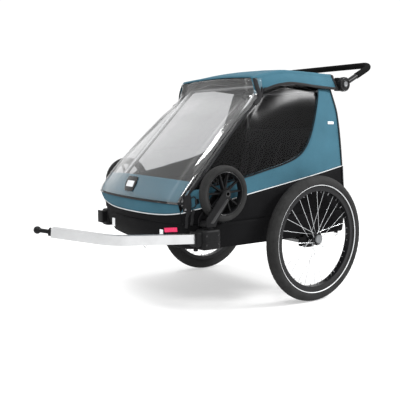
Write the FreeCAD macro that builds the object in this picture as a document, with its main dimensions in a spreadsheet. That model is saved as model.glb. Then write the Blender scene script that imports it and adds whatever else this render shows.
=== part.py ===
import FreeCAD, Part
import math
import os
import re
import Sketcher
from FreeCAD import Placement, Rotation, Vector

# Two-seat child bicycle trailer, in millimetres.
# +X is the trailer's left side, +Y points to its rear, +Z is up.
# The origin is on the ground, midway between the hitch ball and the push bar.

doc = FreeCAD.newDocument("ChildBicycleTrailer")
sheet = doc.addObject("Spreadsheet::Sheet", "Sizes")

SIZES = [
    ("AxleY", 325, "main wheel axle, behind the origin"),
    ("WheelRadius", 250, "outer radius of a 47-406 tyre"),
    ("HalfTrack", 367.5, "wheel centre plane from the middle"),
    ("TyreSection", 23.5, "half the tyre's width"),
    ("TyreWall", 2.6, "tyre wall"),
    ("RimOuter", 206, "rim radius at the tyre's bead"),
    ("RimInner", 190, "rim radius at the spoke nipples"),
    ("RimHalf", 13, "half the rim's width"),
    ("RimWall", 3, "rim wall"),
    ("AxleRadius", 6, "main axle"),
    ("RunClear", 0.05, "radial running clearance"),
    ("HubRadius", 16, "hub barrel"),
    ("FlangeRadius", 26, "hub flange"),
    ("FlangeOuter", 12, "flange outer face from the wheel's centre plane"),
    ("FlangeThick", 3, "flange thickness"),
    ("SpokeRadius", 1, "spoke"),
    ("SpokeCount", 24, "spokes in a wheel"),
    ("SpokeStart", 22, "radius of the spoke holes in the flange"),
    ("SpokeLean", 38, "turn from rim hole to flange hole, degrees"),
    ("ButtonRadius", 17, "wheel release button"),
    ("ButtonFace", 391, "button's outer face, the trailer's half width"),
    ("FloorZ", 250, "underside of the floor"),
    ("FloorThick", 3, "floor board"),
    ("FabricThick", 2.5, "coated fabric with its lining"),
    ("TubTop", 345, "top of the stiff tub wall"),
    ("SeamZ", 420, "lower seam of the windshield"),
    ("KneeZ", 496, "top of the blue front panel"),
    ("PanelGap", 0.5, "gap between neighbouring fabric pieces"),
    ("RailRadius", 10, "lower frame tube"),
    ("RailX", 296, "side rail from the middle"),
    ("RailZ", 266, "lower frame tube height"),
    ("RailRearY", 520, "rear cross rail"),
    ("RailFrontY", -195, "front cross rail"),
    ("RailBendY", -114, "side ends of the front rail"),
    ("TubeWall", 1.6, "aluminium tube wall"),
    ("BeamRadius", 12, "axle beam"),
    ("BeamZ", 232, "axle beam height"),
    ("BracketX", 341, "outer face of the axle bracket"),
    ("FoldY", -225, "fold hinge of the canopy frame"),
    ("FoldZ", 400, "fold hinge height"),
    ("HoopRadius", 10, "side hoop tube"),
    ("HoopX", 258, "side hoop at the fold hinge"),
    ("LegRadius", 9, "rear leg tube"),
    ("LegX", 240, "rear leg at its upper hinge"),
    ("LegFootX", 274, "rear leg at its foot"),
    ("LegY", 478, "upper hinge of the rear legs"),
    ("LegZ", 838, "upper hinge height"),
    ("LegFootY", 533, "rear leg foot"),
    ("LegFootZ", 352, "rear leg foot height"),
    ("KnobY", 556, "push bar pivot"),
    ("KnobZ", 865, "push bar pivot height"),
    ("KnobRadius", 29, "push bar hub"),
    ("BarX", 290, "push bar side tube from the middle"),
    ("BarY", 737, "push bar cross tube"),
    ("BarZ", 955, "push bar cross tube height"),
    ("BarRadius", 11, "push bar tube"),
    ("GripRadius", 13, "foam grip"),
    ("BarBend", 55, "push bar corner radius"),
    ("CasterX", 347, "stroller wheel from the middle"),
    ("CasterY", -120, "stroller wheel centre"),
    ("CasterZ", 455, "stroller wheel centre height"),
    ("CasterRadius", 100, "stroller wheel"),
    ("CasterHalf", 18, "half the stroller wheel's width"),
    ("CasterCore", 78, "stroller wheel core radius"),
    ("CasterAxle", 5, "stroller wheel axle radius"),
    ("StemY", -192, "stroller fork stem"),
    ("StemRadius", 15, "stroller fork stem radius"),
    ("SocketTop", 335, "top of the corner socket"),
    ("SocketBottom", 264, "bottom of the corner socket"),
    ("ArmX", 350, "hitch arm from the middle"),
    ("ArmRearY", -210, "rear end of the hitch arm"),
    ("ArmRearZ", 303, "hitch arm height at its rear end"),
    ("ArmBendY", -560, "bend of the hitch arm"),
    ("ArmBendZ", 332, "hitch arm height at the bend"),
    ("ArmHeight", 32, "hitch arm section height"),
    ("ArmWidth", 26, "hitch arm section width"),
    ("ArmWall", 2, "hitch arm wall"),
    ("BallX", 165, "hitch ball from the middle"),
    ("BallY", -737.5, "hitch ball"),
    ("BallZ", 359, "hitch ball height"),
    ("BallRadius", 12.5, "hitch ball"),
    ("SeatHalf", 222, "half the seat's width"),
    ("SeatZ", 303, "underside of the seat"),
    ("PedalY", 357, "parking brake hinge"),
    ("PedalZ", 230, "parking brake hinge height"),
]

for row, (alias, value, note) in enumerate(SIZES, start=1):
    sheet.set("A%d" % row, note)
    sheet.set("B%d" % row, str(value))
    sheet.setAlias("B%d" % row, alias)
doc.recompute()

nodes = []


# ---------------------------------------------------------------- helpers

def size(expression):
    """The value of an expression in the sheet's aliases."""
    return float(sheet.evalExpression(expression))


def bound(expression):
    """The expression as a document object has to write it."""
    return re.sub(r"[A-Z][A-Za-z0-9]*", lambda m: "Sizes." + m.group(0), str(expression))


def node(label, made):
    """Marks an object as one finished sub-part."""
    made.Label = label
    nodes.append(made)
    return made


def box(name, x, y, z):
    """A box between pairs of expressions, low then high."""
    made = doc.addObject("Part::Box", name)
    for (low, high), length, base in ((x, "Length", "x"), (y, "Width", "y"), (z, "Height", "z")):
        made.setExpression(length, bound("(%s)-(%s)" % (high, low)))
        made.setExpression("Placement.Base." + base, bound(low))
    return made


TURNS = {
    "x": Rotation(Vector(0, 1, 0), 90),
    "y": Rotation(Vector(1, 0, 0), -90),
    "z": Rotation(),
}


def rod(name, axis, radius, start, length):
    """A cylinder from start (three expressions) along +axis."""
    made = doc.addObject("Part::Cylinder", name)
    made.setExpression("Radius", bound(radius))
    made.setExpression("Height", bound(length))
    made.Placement = Placement(Vector(), TURNS[axis])
    for letter, value in zip("xyz", start):
        made.setExpression("Placement.Base." + letter, bound(value))
    return made


def fuse(name, *pieces):
    made = doc.addObject("Part::MultiFuse", name)
    made.Shapes = list(pieces)
    return made


def cut(name, base, *tools):
    made = doc.addObject("Part::Cut", name)
    made.Base = base
    made.Tool = tools[0] if len(tools) == 1 else fuse(name + "_tools", *tools)
    return made


def mirror(name, source):
    """The other side's copy of a left piece."""
    made = doc.addObject("Part::Mirroring", name)
    made.Source = source
    made.Base = Vector(0, 0, 0)
    made.Normal = Vector(1, 0, 0)
    return made


def pair(name, source):
    """A left piece and its mirror image as two solids of one sub-part."""
    made = doc.addObject("Part::Compound", name)
    made.Links = [source, mirror(name + "_mirror", source)]
    return made


def both_sides(name, source):
    """A left sub-part and its right-hand copy."""
    node(name + "_left", source)
    node(name + "_right", mirror(name + "_right", source))


def shaped(name, shape, place=Placement()):
    """A sub-part whose form no primitive or sketch feature gives."""
    made = doc.addObject("Part::Feature", name)
    made.Shape = shape
    made.Placement = place
    return made


def turned(name, outline, place):
    """A PartDesign revolution about the local X axis; outline is (along, radius) expressions."""
    body = doc.addObject("PartDesign::Body", name)
    sketch = body.newObject("Sketcher::SketchObject", name + "_outline")
    plane = [f for f in body.Origin.OriginFeatures if f.Role == "XY_Plane"][0]
    sketch.AttachmentSupport = [(plane, "")]
    sketch.MapMode = "FlatFace"
    corners = [Vector(size(u), size(v), 0) for u, v in outline]
    count = len(corners)
    for i in range(count):
        sketch.addGeometry(Part.LineSegment(corners[i], corners[(i + 1) % count]), False)
    for i in range(count):
        sketch.addConstraint(Sketcher.Constraint("Coincident", i, 2, (i + 1) % count, 1))
    for i, (u, v) in enumerate(outline):
        for kind, value, expression in (("DistanceX", corners[i].x, u), ("DistanceY", corners[i].y, v)):
            if value < 0:
                number = sketch.addConstraint(Sketcher.Constraint(kind, i, 1, -1, 1, -value))
                sketch.setExpression("Constraints[%d]" % number, bound("-(%s)" % expression))
            else:
                number = sketch.addConstraint(Sketcher.Constraint(kind, -1, 1, i, 1, value))
                sketch.setExpression("Constraints[%d]" % number, bound(expression))
    turn = body.newObject("PartDesign::Revolution", name + "_turn")
    turn.Profile = sketch
    turn.ReferenceAxis = (sketch, ["H_Axis"])
    turn.Angle = 360
    for letter, value in zip("xyz", place):
        body.setExpression("Placement.Base." + letter, bound(value))
    return body


def rounded_path(points, bend):
    """Straight runs joined by tangent arcs of radius bend, as one wire."""
    edges = []
    start = points[0]
    for i in range(1, len(points) - 1):
        corner = points[i]
        back = (points[i - 1] - corner).normalize()
        ahead = (points[i + 1] - corner).normalize()
        half = back.getAngle(ahead) / 2
        reach = bend / math.tan(half)
        first = corner + back * reach
        last = corner + ahead * reach
        inward = (back + ahead).normalize()
        middle = corner + inward * (bend / math.sin(half) - bend)
        edges.append(Part.makeLine(start, first))
        edges.append(Part.Arc(first, middle, last).toShape())
        start = last
    edges.append(Part.makeLine(start, points[-1]))
    return Part.Wire(edges)


def points_of(expressions):
    return [Vector(size(x), size(y), size(z)) for x, y, z in expressions]


def sweep(name, path, radius):
    """A round bar of one radius along a wire."""
    run = path.Shape.Edges[0]
    ring = doc.addObject("Part::Circle", name + "_ring")
    ring.setExpression("Radius", bound(radius))
    ahead = run.tangentAt(run.FirstParameter)
    ring.Placement = Placement(run.Vertexes[0].Point, Rotation(Vector(0, 0, 1), ahead))
    made = doc.addObject("Part::Sweep", name)
    made.Sections = [ring]
    made.Spine = (path, ["Edge%d" % (i + 1) for i in range(len(path.Shape.Edges))])
    made.Solid = True
    made.Frenet = False
    return made


def bent_tube(name, expressions, radius, bend):
    """A hollow round tube through the given corners."""
    path = shaped(name + "_path", rounded_path(points_of(expressions), size(bend)))
    outer = sweep(name + "_outer", path, radius)
    inner = sweep(name + "_inner", path, "(%s)-TubeWall" % radius)
    return cut(name, outer, inner)


def prism(outline, low, high):
    """A solid between two x positions whose (y, z) outline is given."""
    corners = [Vector(low, y, z) for y, z in outline]
    face = Part.Face(Part.makePolygon(corners + corners[:1]))
    return face.extrude(Vector(high - low, 0, 0))


def square_sweep(points, bend, width, height):
    """A rectangular bar along a rounded path, kept upright."""
    path = rounded_path(points, bend)
    ahead = (points[1] - points[0]).normalize()
    side = ahead.cross(Vector(0, 0, 1)).normalize()
    up = side.cross(ahead)
    half_side = side * (width / 2)
    half_up = up * (height / 2)
    start = points[0]
    ring = [start + half_side + half_up, start - half_side + half_up,
            start - half_side - half_up, start + half_side - half_up]
    shell = Part.BRepOffsetAPI.MakePipeShell(path)
    shell.setBiNormalMode(Vector(0, 0, 1))
    shell.add(Part.makePolygon(ring + ring[:1]))
    shell.build()
    shell.makeSolid()
    return shell.shape()


# ---------------------------------------------------------------- main wheels

def make_wheel():
    """The left main wheel about its own axle, then mirrored to the right."""
    hub_place = ("HalfTrack", "AxleY", "WheelRadius")
    ring = doc.addObject("Part::Torus", "tyre_outer")
    hollow = doc.addObject("Part::Torus", "tyre_hollow")
    for torus, section in ((ring, "TyreSection"), (hollow, "TyreSection-TyreWall")):
        torus.setExpression("Radius1", bound("WheelRadius-TyreSection"))
        torus.setExpression("Radius2", bound(section))
        torus.Placement = Placement(Vector(), TURNS["x"])
        for letter, value in zip("xyz", hub_place):
            torus.setExpression("Placement.Base." + letter, bound(value))
    seat = rod("tyre_seat", "x", "RimOuter", ("HalfTrack-40", "AxleY", "WheelRadius"), "80")
    both_sides("tyre", cut("tyre_left", ring, hollow, seat))

    rim = turned("rim_left", [
        ("-RimHalf", "RimInner"),
        ("RimHalf", "RimInner"),
        ("RimHalf", "RimOuter"),
        ("RimHalf-RimWall", "RimOuter"),
        ("RimHalf-RimWall", "RimInner+RimWall"),
        ("RimWall-RimHalf", "RimInner+RimWall"),
        ("RimWall-RimHalf", "RimOuter"),
        ("-RimHalf", "RimOuter"),
    ], hub_place)
    both_sides("rim", rim)

    bore = "AxleRadius+RunClear"
    hub = turned("hub_left", [
        ("-24", bore),
        ("FlangeOuter", bore),
        ("FlangeOuter", "FlangeRadius"),
        ("FlangeOuter-FlangeThick", "FlangeRadius"),
        ("FlangeOuter-FlangeThick", "HubRadius"),
        ("FlangeThick-FlangeOuter", "HubRadius"),
        ("FlangeThick-FlangeOuter", "FlangeRadius"),
        ("-FlangeOuter", "FlangeRadius"),
        ("-FlangeOuter", "HubRadius"),
        ("-24", "HubRadius"),
    ], hub_place)
    both_sides("hub", hub)

    centre = Vector(size("HalfTrack"), size("AxleY"), size("WheelRadius"))
    count = int(size("SpokeCount"))
    outside = size("FlangeOuter") + 1.8 * size("SpokeRadius")
    inside = size("FlangeOuter-FlangeThick") - 1.2 * size("SpokeRadius")
    spokes = []
    for i in range(count):
        side = 1 if i % 2 == 0 else -1
        lead = 1 if i // 2 % 2 == 0 else -1
        rim_turn = math.radians(360.0 * i / count)
        hub_turn = rim_turn + lead * math.radians(size("SpokeLean"))
        reach = size("SpokeStart")
        along = side * (outside if lead > 0 else inside)
        start = centre + Vector(along, reach * math.cos(hub_turn), reach * math.sin(hub_turn))
        reach = size("RimInner") - 0.3
        end = centre + Vector(side * 4, reach * math.cos(rim_turn), reach * math.sin(rim_turn))
        run = end - start
        spokes.append(Part.makeCylinder(size("SpokeRadius"), run.Length, start, run))
    both_sides("spokes", shaped("spokes_left", Part.makeCompound(spokes)))

    blank = rod("axle_blank", "x", "AxleRadius", ("322", "AxleY", "WheelRadius"), "57")
    bore_cut = rod("axle_bore", "x", "4+RunClear", ("358", "AxleY", "WheelRadius"), "30")
    node("wheel_axles", pair("wheel_axles", cut("axle_left", blank, bore_cut)))

    head = rod("button_head", "x", "ButtonRadius", ("ButtonFace-7", "AxleY", "WheelRadius"), "7")
    stem = rod("button_stem", "x", "4", ("366", "AxleY", "WheelRadius"), "ButtonFace-7-365")
    both_sides("wheel_button", fuse("wheel_button_left", head, stem))


# ---------------------------------------------------------------- lower frame

def make_lower_frame():
    rail = ("RailX", "RailBendY+5", "RailZ")
    length = "RailRearY-RailBendY-RailRadius-6"
    outer = rod("rail_outer", "y", "RailRadius", rail, length)
    inner = rod("rail_inner", "y", "RailRadius-TubeWall", rail, length)
    node("side_rails", pair("side_rails", cut("rail_left", outer, inner)))

    front = bent_tube("front_rail", [
        ("RailX", "RailBendY", "RailZ"),
        ("RailX-28", "RailFrontY", "RailZ"),
        ("28-RailX", "RailFrontY", "RailZ"),
        ("-RailX", "RailBendY", "RailZ"),
    ], "RailRadius", "40")
    start = ("-RailX+12", "RailRearY", "RailZ")
    outer = rod("rear_rail_outer", "x", "RailRadius", start, "2*RailX-24")
    inner = rod("rear_rail_inner", "x", "RailRadius-TubeWall", start, "2*RailX-24")
    crossing = doc.addObject("Part::Compound", "cross_rails")
    crossing.Links = [front, cut("rear_rail", outer, inner)]
    node("cross_rails", crossing)

    beam = rod("beam_outer", "x", "BeamRadius", ("-296", "AxleY", "BeamZ"), "592")
    hollow = rod("beam_inner", "x", "BeamRadius-2", ("-296", "AxleY", "BeamZ"), "592")
    saddles = [box("saddle_%d" % i, (x, x + "+20"), ("AxleY-14", "AxleY+14"), ("BeamZ+8", "FloorZ"))
               for i, x in enumerate(("-270", "250"))]
    ears = [box("ear_%d" % i, (x, x + "+5"), ("AxleY+10", "PedalY+8"), ("PedalZ-9", "PedalZ+9"))
            for i, x in enumerate(("-47", "42"))]
    pin = rod("pedal_pin", "x", "4", ("-47", "PedalY", "PedalZ"), "94")
    solid = fuse("beam_solid", beam, *saddles, *ears, pin)
    node("axle_beam", cut("axle_beam", solid, hollow))

    barrel = rod("pedal_barrel", "x", "8", ("-41", "PedalY", "PedalZ"), "82")
    plate = box("pedal_plate", ("-40", "40"), ("PedalY+5", "PedalY+46"), ("PedalZ-4", "PedalZ+4"))
    bore = rod("pedal_bore", "x", "4+RunClear", ("-60", "PedalY", "PedalZ"), "120")
    node("brake_pedal", cut("brake_pedal", fuse("pedal_solid", barrel, plate), bore))

    foot = box("bracket_foot", ("296", "BracketX"), ("AxleY-20", "AxleY+20"), ("212", "FloorZ-1"))
    cheek = box("bracket_cheek", ("323", "BracketX"), ("AxleY-20", "AxleY+20"), ("212", "274"))
    bore = rod("bracket_bore", "x", "AxleRadius+0.02", ("300", "AxleY", "WheelRadius"), "60")
    bracket = cut("axle_bracket_left", fuse("bracket_solid", foot, cheek), bore)
    node("axle_brackets", pair("axle_brackets", bracket))

    top = size("FoldZ") + 12
    hinge_y = size("FoldY")
    rail_y = size("RailFrontY")
    rail_top = size("RailZ+RailRadius") + 0.3
    web = prism([(rail_y - 14, rail_top), (rail_y + 11, rail_top), (rail_y - 5, rail_top + 54),
                 (hinge_y + 14, top), (hinge_y - 14, top), (hinge_y - 14, top - 72),
                 (rail_y - 26, rail_top + 26)], size("HoopX+12"), size("HoopX+18"))
    plate = shaped("fold_plate", web)
    pin = rod("fold_pin", "x", "6", ("HoopX-10", "FoldY", "FoldZ"), "22.5")
    fold = fuse("fold_bracket", plate, pin)
    post = rod("rear_post", "z", "8", ("LegFootX-22", "RailRearY", "RailZ+RailRadius+0.3"), "107")
    collar = rod("post_collar", "z", "11", ("LegFootX-22", "RailRearY", "RailZ+RailRadius+0.3"), "6")
    stand = fuse("post_left", post, collar)
    brackets = doc.addObject("Part::Compound", "frame_brackets")
    brackets.Links = [pair("fold_brackets", fold), pair("rear_posts", stand)]
    node("frame_brackets", brackets)


# ---------------------------------------------------------------- body shell

# Level sections of the cabin's outer skin. Each row: height, front middle y, front corner y,
# front corner x, shoulder x, shoulder y, widest x, rear corner y, rear corner x.
SECTIONS = [
    (250, -252, -222, 262, 312, -118, 317, 551, 308),
    (300, -286, -246, 278, 317, -130, 319, 556, 309),
    (370, -303, -256, 284, 318, -150, 320, 560, 310),
    (420, -309, -275, 288, 318, -165, 320, 558, 307),
    (496, -284, -221, 292, 312, -130, 316, 554, 301),
    (728, -28, 9, 264, 278, 62, 288, 534, 283),
    (822, 75, 108, 250, 262, 150, 276, 508, 272),
    (880, 98, 112, 238, 250, 160, 264, 490, 260),
]
# Stations of the roof cover: y, edge height, edge x, valance bottom height, valance bottom x.
ROOF = [
    (104, 877, 236, 811, 252),
    (160, 895, 241, 834, 264),
    (210, 905, 245, 849, 270),
    (275, 913, 248, 857, 275),
    (420, 911, 252, 848, 279),
    (527, 905, 258, 843, 283),
]
ROOF_CROWN = 10
REAR_BOW = 8
SIDE_MIDDLE_Y = 230
CORNER_BULGE = 8


def front_corner_y(height):
    """The y of the skin's front corner at a height."""
    for low, high in zip(SECTIONS, SECTIONS[1:]):
        if height <= high[0]:
            part = (height - low[0]) / (high[0] - low[0])
            return low[2] + part * (high[2] - low[2])
    return SECTIONS[-1][2]


def cabin(inset):
    """The cabin's solid form, pulled in by inset."""
    wires = []
    for z, front, corner_y, corner_x, shoulder_x, shoulder_y, widest, rear_y, rear_x in SECTIONS:
        def at(x, y):
            return Vector(x, y, z)
        front += inset
        corner_y += inset
        rear_y -= inset
        rights = []
        for side in (1, -1):
            corner = at(side * (corner_x - inset), corner_y)
            shoulder = at(side * (shoulder_x - inset), shoulder_y)
            rear = at(side * (rear_x - inset), rear_y)
            turn = (corner + shoulder) * 0.5 + Vector(side * CORNER_BULGE, -CORNER_BULGE / 2, 0)
            middle = at(side * (widest - inset), SIDE_MIDDLE_Y)
            rights.append((corner, turn, shoulder, middle, rear))
        left, right = rights
        back = at(0, rear_y + REAR_BOW)
        edges = [
            Part.Arc(left[4], left[3], left[2]).toShape(),
            Part.Arc(left[2], left[1], left[0]).toShape(),
            Part.Arc(left[0], at(0, front), right[0]).toShape(),
            Part.Arc(right[0], right[1], right[2]).toShape(),
            Part.Arc(right[2], right[3], right[4]).toShape(),
            Part.Arc(right[4], back, left[4]).toShape(),
        ]
        wires.append(Part.Wire(edges))
    return Part.makeLoft(wires, True, True)


# The side opening's outline behind the front corner, (y, z), from the rear top round the bottom.
WINDOW_REAR = [(424, 843), (415, 798), (390, 717), (364, 657), (328, 605), (284, 571),
               (211, 546), (103, 524), (8, 502), (-205, 470)]
WINDOW_TOP = [(134, 816), (160, 830), (205, 846), (250, 853), (310, 856), (365, 851)]
OUTSIDE = 400
BEHIND = 700


def valance_points(first, last, drop):
    """Points just under the roof valance's lower edge, from front to rear."""
    stations = [first] + [row[0] for row in ROOF if first < row[0] < last] + [last]
    points = []
    for y in stations:
        for low, high in zip(ROOF, ROOF[1:]):
            if low[0] <= y <= high[0]:
                part = (y - low[0]) / (high[0] - low[0])
                height = low[3] + part * (high[3] - low[3])
        points.append((y, height - drop))
    return points


def front_edge(low, high, shift):
    """Points along the skin's front corner between two heights."""
    heights = [low] + [row[0] for row in SECTIONS if low < row[0] < high] + [high]
    return [(front_corner_y(z) + shift, z) for z in heights]


def make_cabin_skin():
    thick = size("FabricThick")
    gap = size("PanelGap")
    outer = cabin(0)
    skin = outer.cut(cabin(thick))
    tub_top = size("TubTop")
    seam = size("SeamZ")

    tub_zone = [(-OUTSIDE, size("FloorZ") + 0.5), (BEHIND, size("FloorZ") + 0.5), (700, tub_top)]
    tub_zone += front_edge(tub_top, seam, 0)
    tub_zone += [(-OUTSIDE, seam)]
    node("tub_shell", shaped("tub_shell", skin.common(prism(tub_zone, -OUTSIDE, OUTSIDE))))

    rear_edge = [(row[7], row[0]) for row in SECTIONS if tub_top < row[0] < 840]
    rear_zone = [(556, tub_top + gap)] + [(y + gap, z) for y, z in rear_edge] + [(503 + gap, 840)]
    rear_zone += [(BEHIND, 840), (BEHIND, tub_top + gap)]
    node("rear_panel", shaped("rear_panel", skin.common(prism(rear_zone, -OUTSIDE, OUTSIDE))))

    rear_bound = [(503 - gap, 840)] + [(y - gap, z) for y, z in reversed(rear_edge)]
    rear_bound += [(556 - gap, tub_top + gap)]
    valance = valance_points(118, 501, 1.5)
    side_zone = front_edge(tub_top + gap, valance[0][1] - 2, gap) + valance + rear_bound
    window_zone = front_edge(474, 796, 14) + WINDOW_TOP + WINDOW_REAR
    left_half = prism(side_zone, 1, OUTSIDE)
    window = prism(window_zone, 1, OUTSIDE).common(left_half)
    side = skin.common(left_half)
    pane = side.common(window)
    panel = side.cut(window)
    both_sides("side_panel", shaped("side_panel_left", panel))
    both_sides("side_window", shaped("side_window_left", pane))

    clear_zone = [(-OUTSIDE, seam + gap)] + front_edge(seam + gap, 876, -gap) + [(-OUTSIDE, 876)]
    node("windshield", shaped("windshield", skin.common(prism(clear_zone, -OUTSIDE, OUTSIDE))))

    layer = cabin(thick + 1.5).cut(cabin(2 * thick + 1.5))
    knee = size("KneeZ")
    front_zone = [(-OUTSIDE, seam + gap)] + front_edge(seam + gap, knee, 0) + [(-OUTSIDE, knee)]
    node("front_panel", shaped("front_panel", layer.common(prism(front_zone, -OUTSIDE, OUTSIDE))))

    floor = cabin(thick + 0.5).common(prism([
        (-OUTSIDE, size("FloorZ")), (BEHIND, size("FloorZ")),
        (BEHIND, size("FloorZ+FloorThick")), (-OUTSIDE, size("FloorZ+FloorThick"))], -OUTSIDE, OUTSIDE))
    node("floor_panel", shaped("floor_panel", floor))

    plates = []
    for x, y, z, width, height in ((182, -300, 302, 22, 34), (250, 540, 300, 40, 22)):
        blank = Part.makeBox(width, 34, height, Vector(x - width / 2, y, z - height / 2))
        blank = blank.cut(cabin(-0.3))
        if y < 0:
            trim = prism([(-OUTSIDE, z - 60), (-278, z - 60), (-278, z + 60), (-OUTSIDE, z + 60)],
                         x - 60, x + 60)
            blank = blank.cut(trim)
        plates.append(blank)
    for name, plate in zip(("front_reflectors", "rear_reflectors"), plates):
        node(name, pair(name, shaped(name + "_left", plate)))


# ---------------------------------------------------------------- roof


def roof_solid(inset, reach):
    """The space under the roof cover; reach carries it past both ends."""
    wires = []
    for i, (y, top, edge_x, bottom, foot_x) in enumerate(ROOF):
        if i == 0:
            y -= reach
        if i == len(ROOF) - 1:
            y += reach
        top -= inset
        edge_x -= inset
        foot_x -= inset
        low = bottom - (20 if inset else 0)
        half = [
            Vector(foot_x, y, low),
            Vector(foot_x, y, bottom),
            Vector(foot_x * 0.6 + edge_x * 0.4 + 3, y, bottom * 0.4 + top * 0.6),
            Vector(edge_x, y, top),
            Vector(edge_x * 0.5, y, top + ROOF_CROWN * 0.75),
        ]
        if not inset:
            half = half[1:]
        crown = [Vector(0, y, top + ROOF_CROWN)]
        others = [Vector(-p.x, p.y, p.z) for p in reversed(half)]
        wires.append(Part.makePolygon(half + crown + others + half[:1]))
    return Part.makeLoft(wires, True, True)


def make_roof():
    thick = size("FabricThick")
    shell = roof_solid(0, 0).cut(roof_solid(thick, 12))
    node("roof_cover", shaped("roof_cover", shell))


# ---------------------------------------------------------------- canopy frame

def make_canopy_frame():
    tube = bent_tube("hoop_tube", [
        ("HoopX", "FoldY+8", "FoldZ+11"),
        ("HoopX+6", "FoldY+47", "488"),
        ("LegX-10", "162", "858"),
        ("LegX-8", "256", "889"),
        ("LegX+4", "430", "886"),
        ("262", "KnobY-30", "KnobZ+1"),
    ], "HoopRadius", "60")
    eye = rod("hoop_eye", "x", "14", ("HoopX-9", "FoldY", "FoldZ"), "18")
    bore = rod("hoop_bore", "x", "6+RunClear", ("HoopX-20", "FoldY", "FoldZ"), "40")
    both_sides("hoop", cut("hoop_left", fuse("hoop_solid", tube, eye), bore))

    front = rod("front_bar", "x", "8", ("14-LegX+8", "154", "846"), "2*LegX-44")
    rear = rod("rear_bar", "x", "LegRadius", ("-252", "LegY", "LegZ"), "504")
    bars = doc.addObject("Part::Compound", "canopy_crossbars")
    bars.Links = [front, rear]
    node("canopy_crossbars", bars)

    block = box("leg_block", ("252", "258"), ("LegY-12", "LegY+12"), ("LegZ-11", "862"))
    node("leg_brackets", pair("leg_brackets", block))

    body = box("housing_box", ("262", "279"), ("KnobY-26", "KnobY"), ("KnobZ-27", "KnobZ+27"))
    disc = rod("housing_disc", "x", "KnobRadius-2", ("262", "KnobY", "KnobZ"), "17")
    pin = rod("housing_pin", "x", "8", ("270", "KnobY", "KnobZ"), "20")
    both_sides("handle_housing", fuse("handle_housing_left", body, disc, pin))


def make_rear_legs():
    start = ("LegX", "LegY+1.5", "LegZ-13")
    tube = bent_tube("leg_tube", [
        start,
        ("(LegX+LegFootX)/2", "(LegY+LegFootY)/2+6", "(LegZ+LegFootZ)/2"),
        ("LegFootX", "LegFootY", "LegFootZ"),
    ], "LegRadius", "400")
    eye = rod("leg_eye", "x", "14", ("LegX-9", "LegY", "LegZ"), "18")
    bore = rod("leg_bore", "x", "LegRadius+RunClear", ("LegX-20", "LegY", "LegZ"), "40")
    leg = cut("leg_left", fuse("leg_solid", tube, eye), bore)
    node("rear_legs", pair("rear_legs", leg))


def make_handlebar():
    drop = "(BarZ-KnobZ)/(BarY-KnobY)"
    start = ("BarX", "KnobY+22", "KnobZ+22*" + drop)
    corner = ("BarX", "BarY", "BarZ")
    other = [("-BarX", y, z) for x, y, z in (corner, start)]
    tube = bent_tube("bar_tube", [start, corner] + other, "BarRadius", "BarBend")
    hubs = []
    for name, low in (("bar_hub_left", "280"), ("bar_hub_right", "-298")):
        hubs.append(rod(name, "x", "KnobRadius", (low, "KnobY", "KnobZ"), "18"))
    bore = rod("bar_bore", "x", "8+RunClear", ("-320", "KnobY", "KnobZ"), "640")
    recess_left = rod("bar_recess_left", "x", "11+RunClear", ("295", "KnobY", "KnobZ"), "10")
    recess_right = rod("bar_recess_right", "x", "11+RunClear", ("-305", "KnobY", "KnobZ"), "10")
    solid = fuse("bar_solid", tube, *hubs)
    node("handlebar_tube", cut("handlebar_tube", solid, bore, recess_left, recess_right))

    grip_start = ("BarX", "BarY-105", "BarZ-105*" + drop)
    path = [grip_start, corner] + [("-BarX", y, z) for x, y, z in (corner, grip_start)]
    spine = shaped("grip_path", rounded_path(points_of(path), size("BarBend")))
    sleeve = sweep("grip_outer", spine, "GripRadius")
    hollow = sweep("grip_inner", spine, "BarRadius")
    node("handlebar_grip", cut("handlebar_grip", sleeve, hollow))

    head = rod("bar_button_head", "x", "11", ("298.5", "KnobY", "KnobZ"), "5")
    stem = rod("bar_button_stem", "x", "6", ("293.5", "KnobY", "KnobZ"), "6")
    both_sides("handle_button", fuse("handle_button_left", head, stem))


# ---------------------------------------------------------------- corner sockets and casters

def make_socket():
    housing = box("socket_housing", ("324", "380"), ("StemY-40", "StemY+40"), ("SocketBottom", "SocketTop"))
    nose = box("socket_nose", ("ArmX-20", "ArmX+20"), ("StemY-62", "StemY-40"), ("280", "328"))
    boss = box("socket_boss", ("306.5", "324"), ("StemY-14", "StemY+22"),
               ("SocketBottom+4", "SocketBottom+34"))
    bore = rod("socket_bore", "z", "StemRadius+RunClear", ("ArmX", "StemY", "SocketBottom+8"), "100")
    latch = rod("socket_latch", "z", "3+RunClear", ("ArmX", "StemY-51", "270"), "40")
    rear = Vector(size("ArmX"), size("ArmRearY"), size("ArmRearZ"))
    bend = Vector(size("ArmX"), size("ArmBendY"), size("ArmBendZ"))
    slope = (bend - rear).normalize()
    points = [rear, rear + slope * 80]
    width = size("ArmWidth") + 0.2
    height = size("ArmHeight") + 0.2
    hole = shaped("arm_hole", square_sweep(points, 0, width, height))
    both_sides("corner_socket", cut("corner_socket_left", fuse("socket_solid", housing, nose, boss),
                                    bore, latch, hole))


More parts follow.
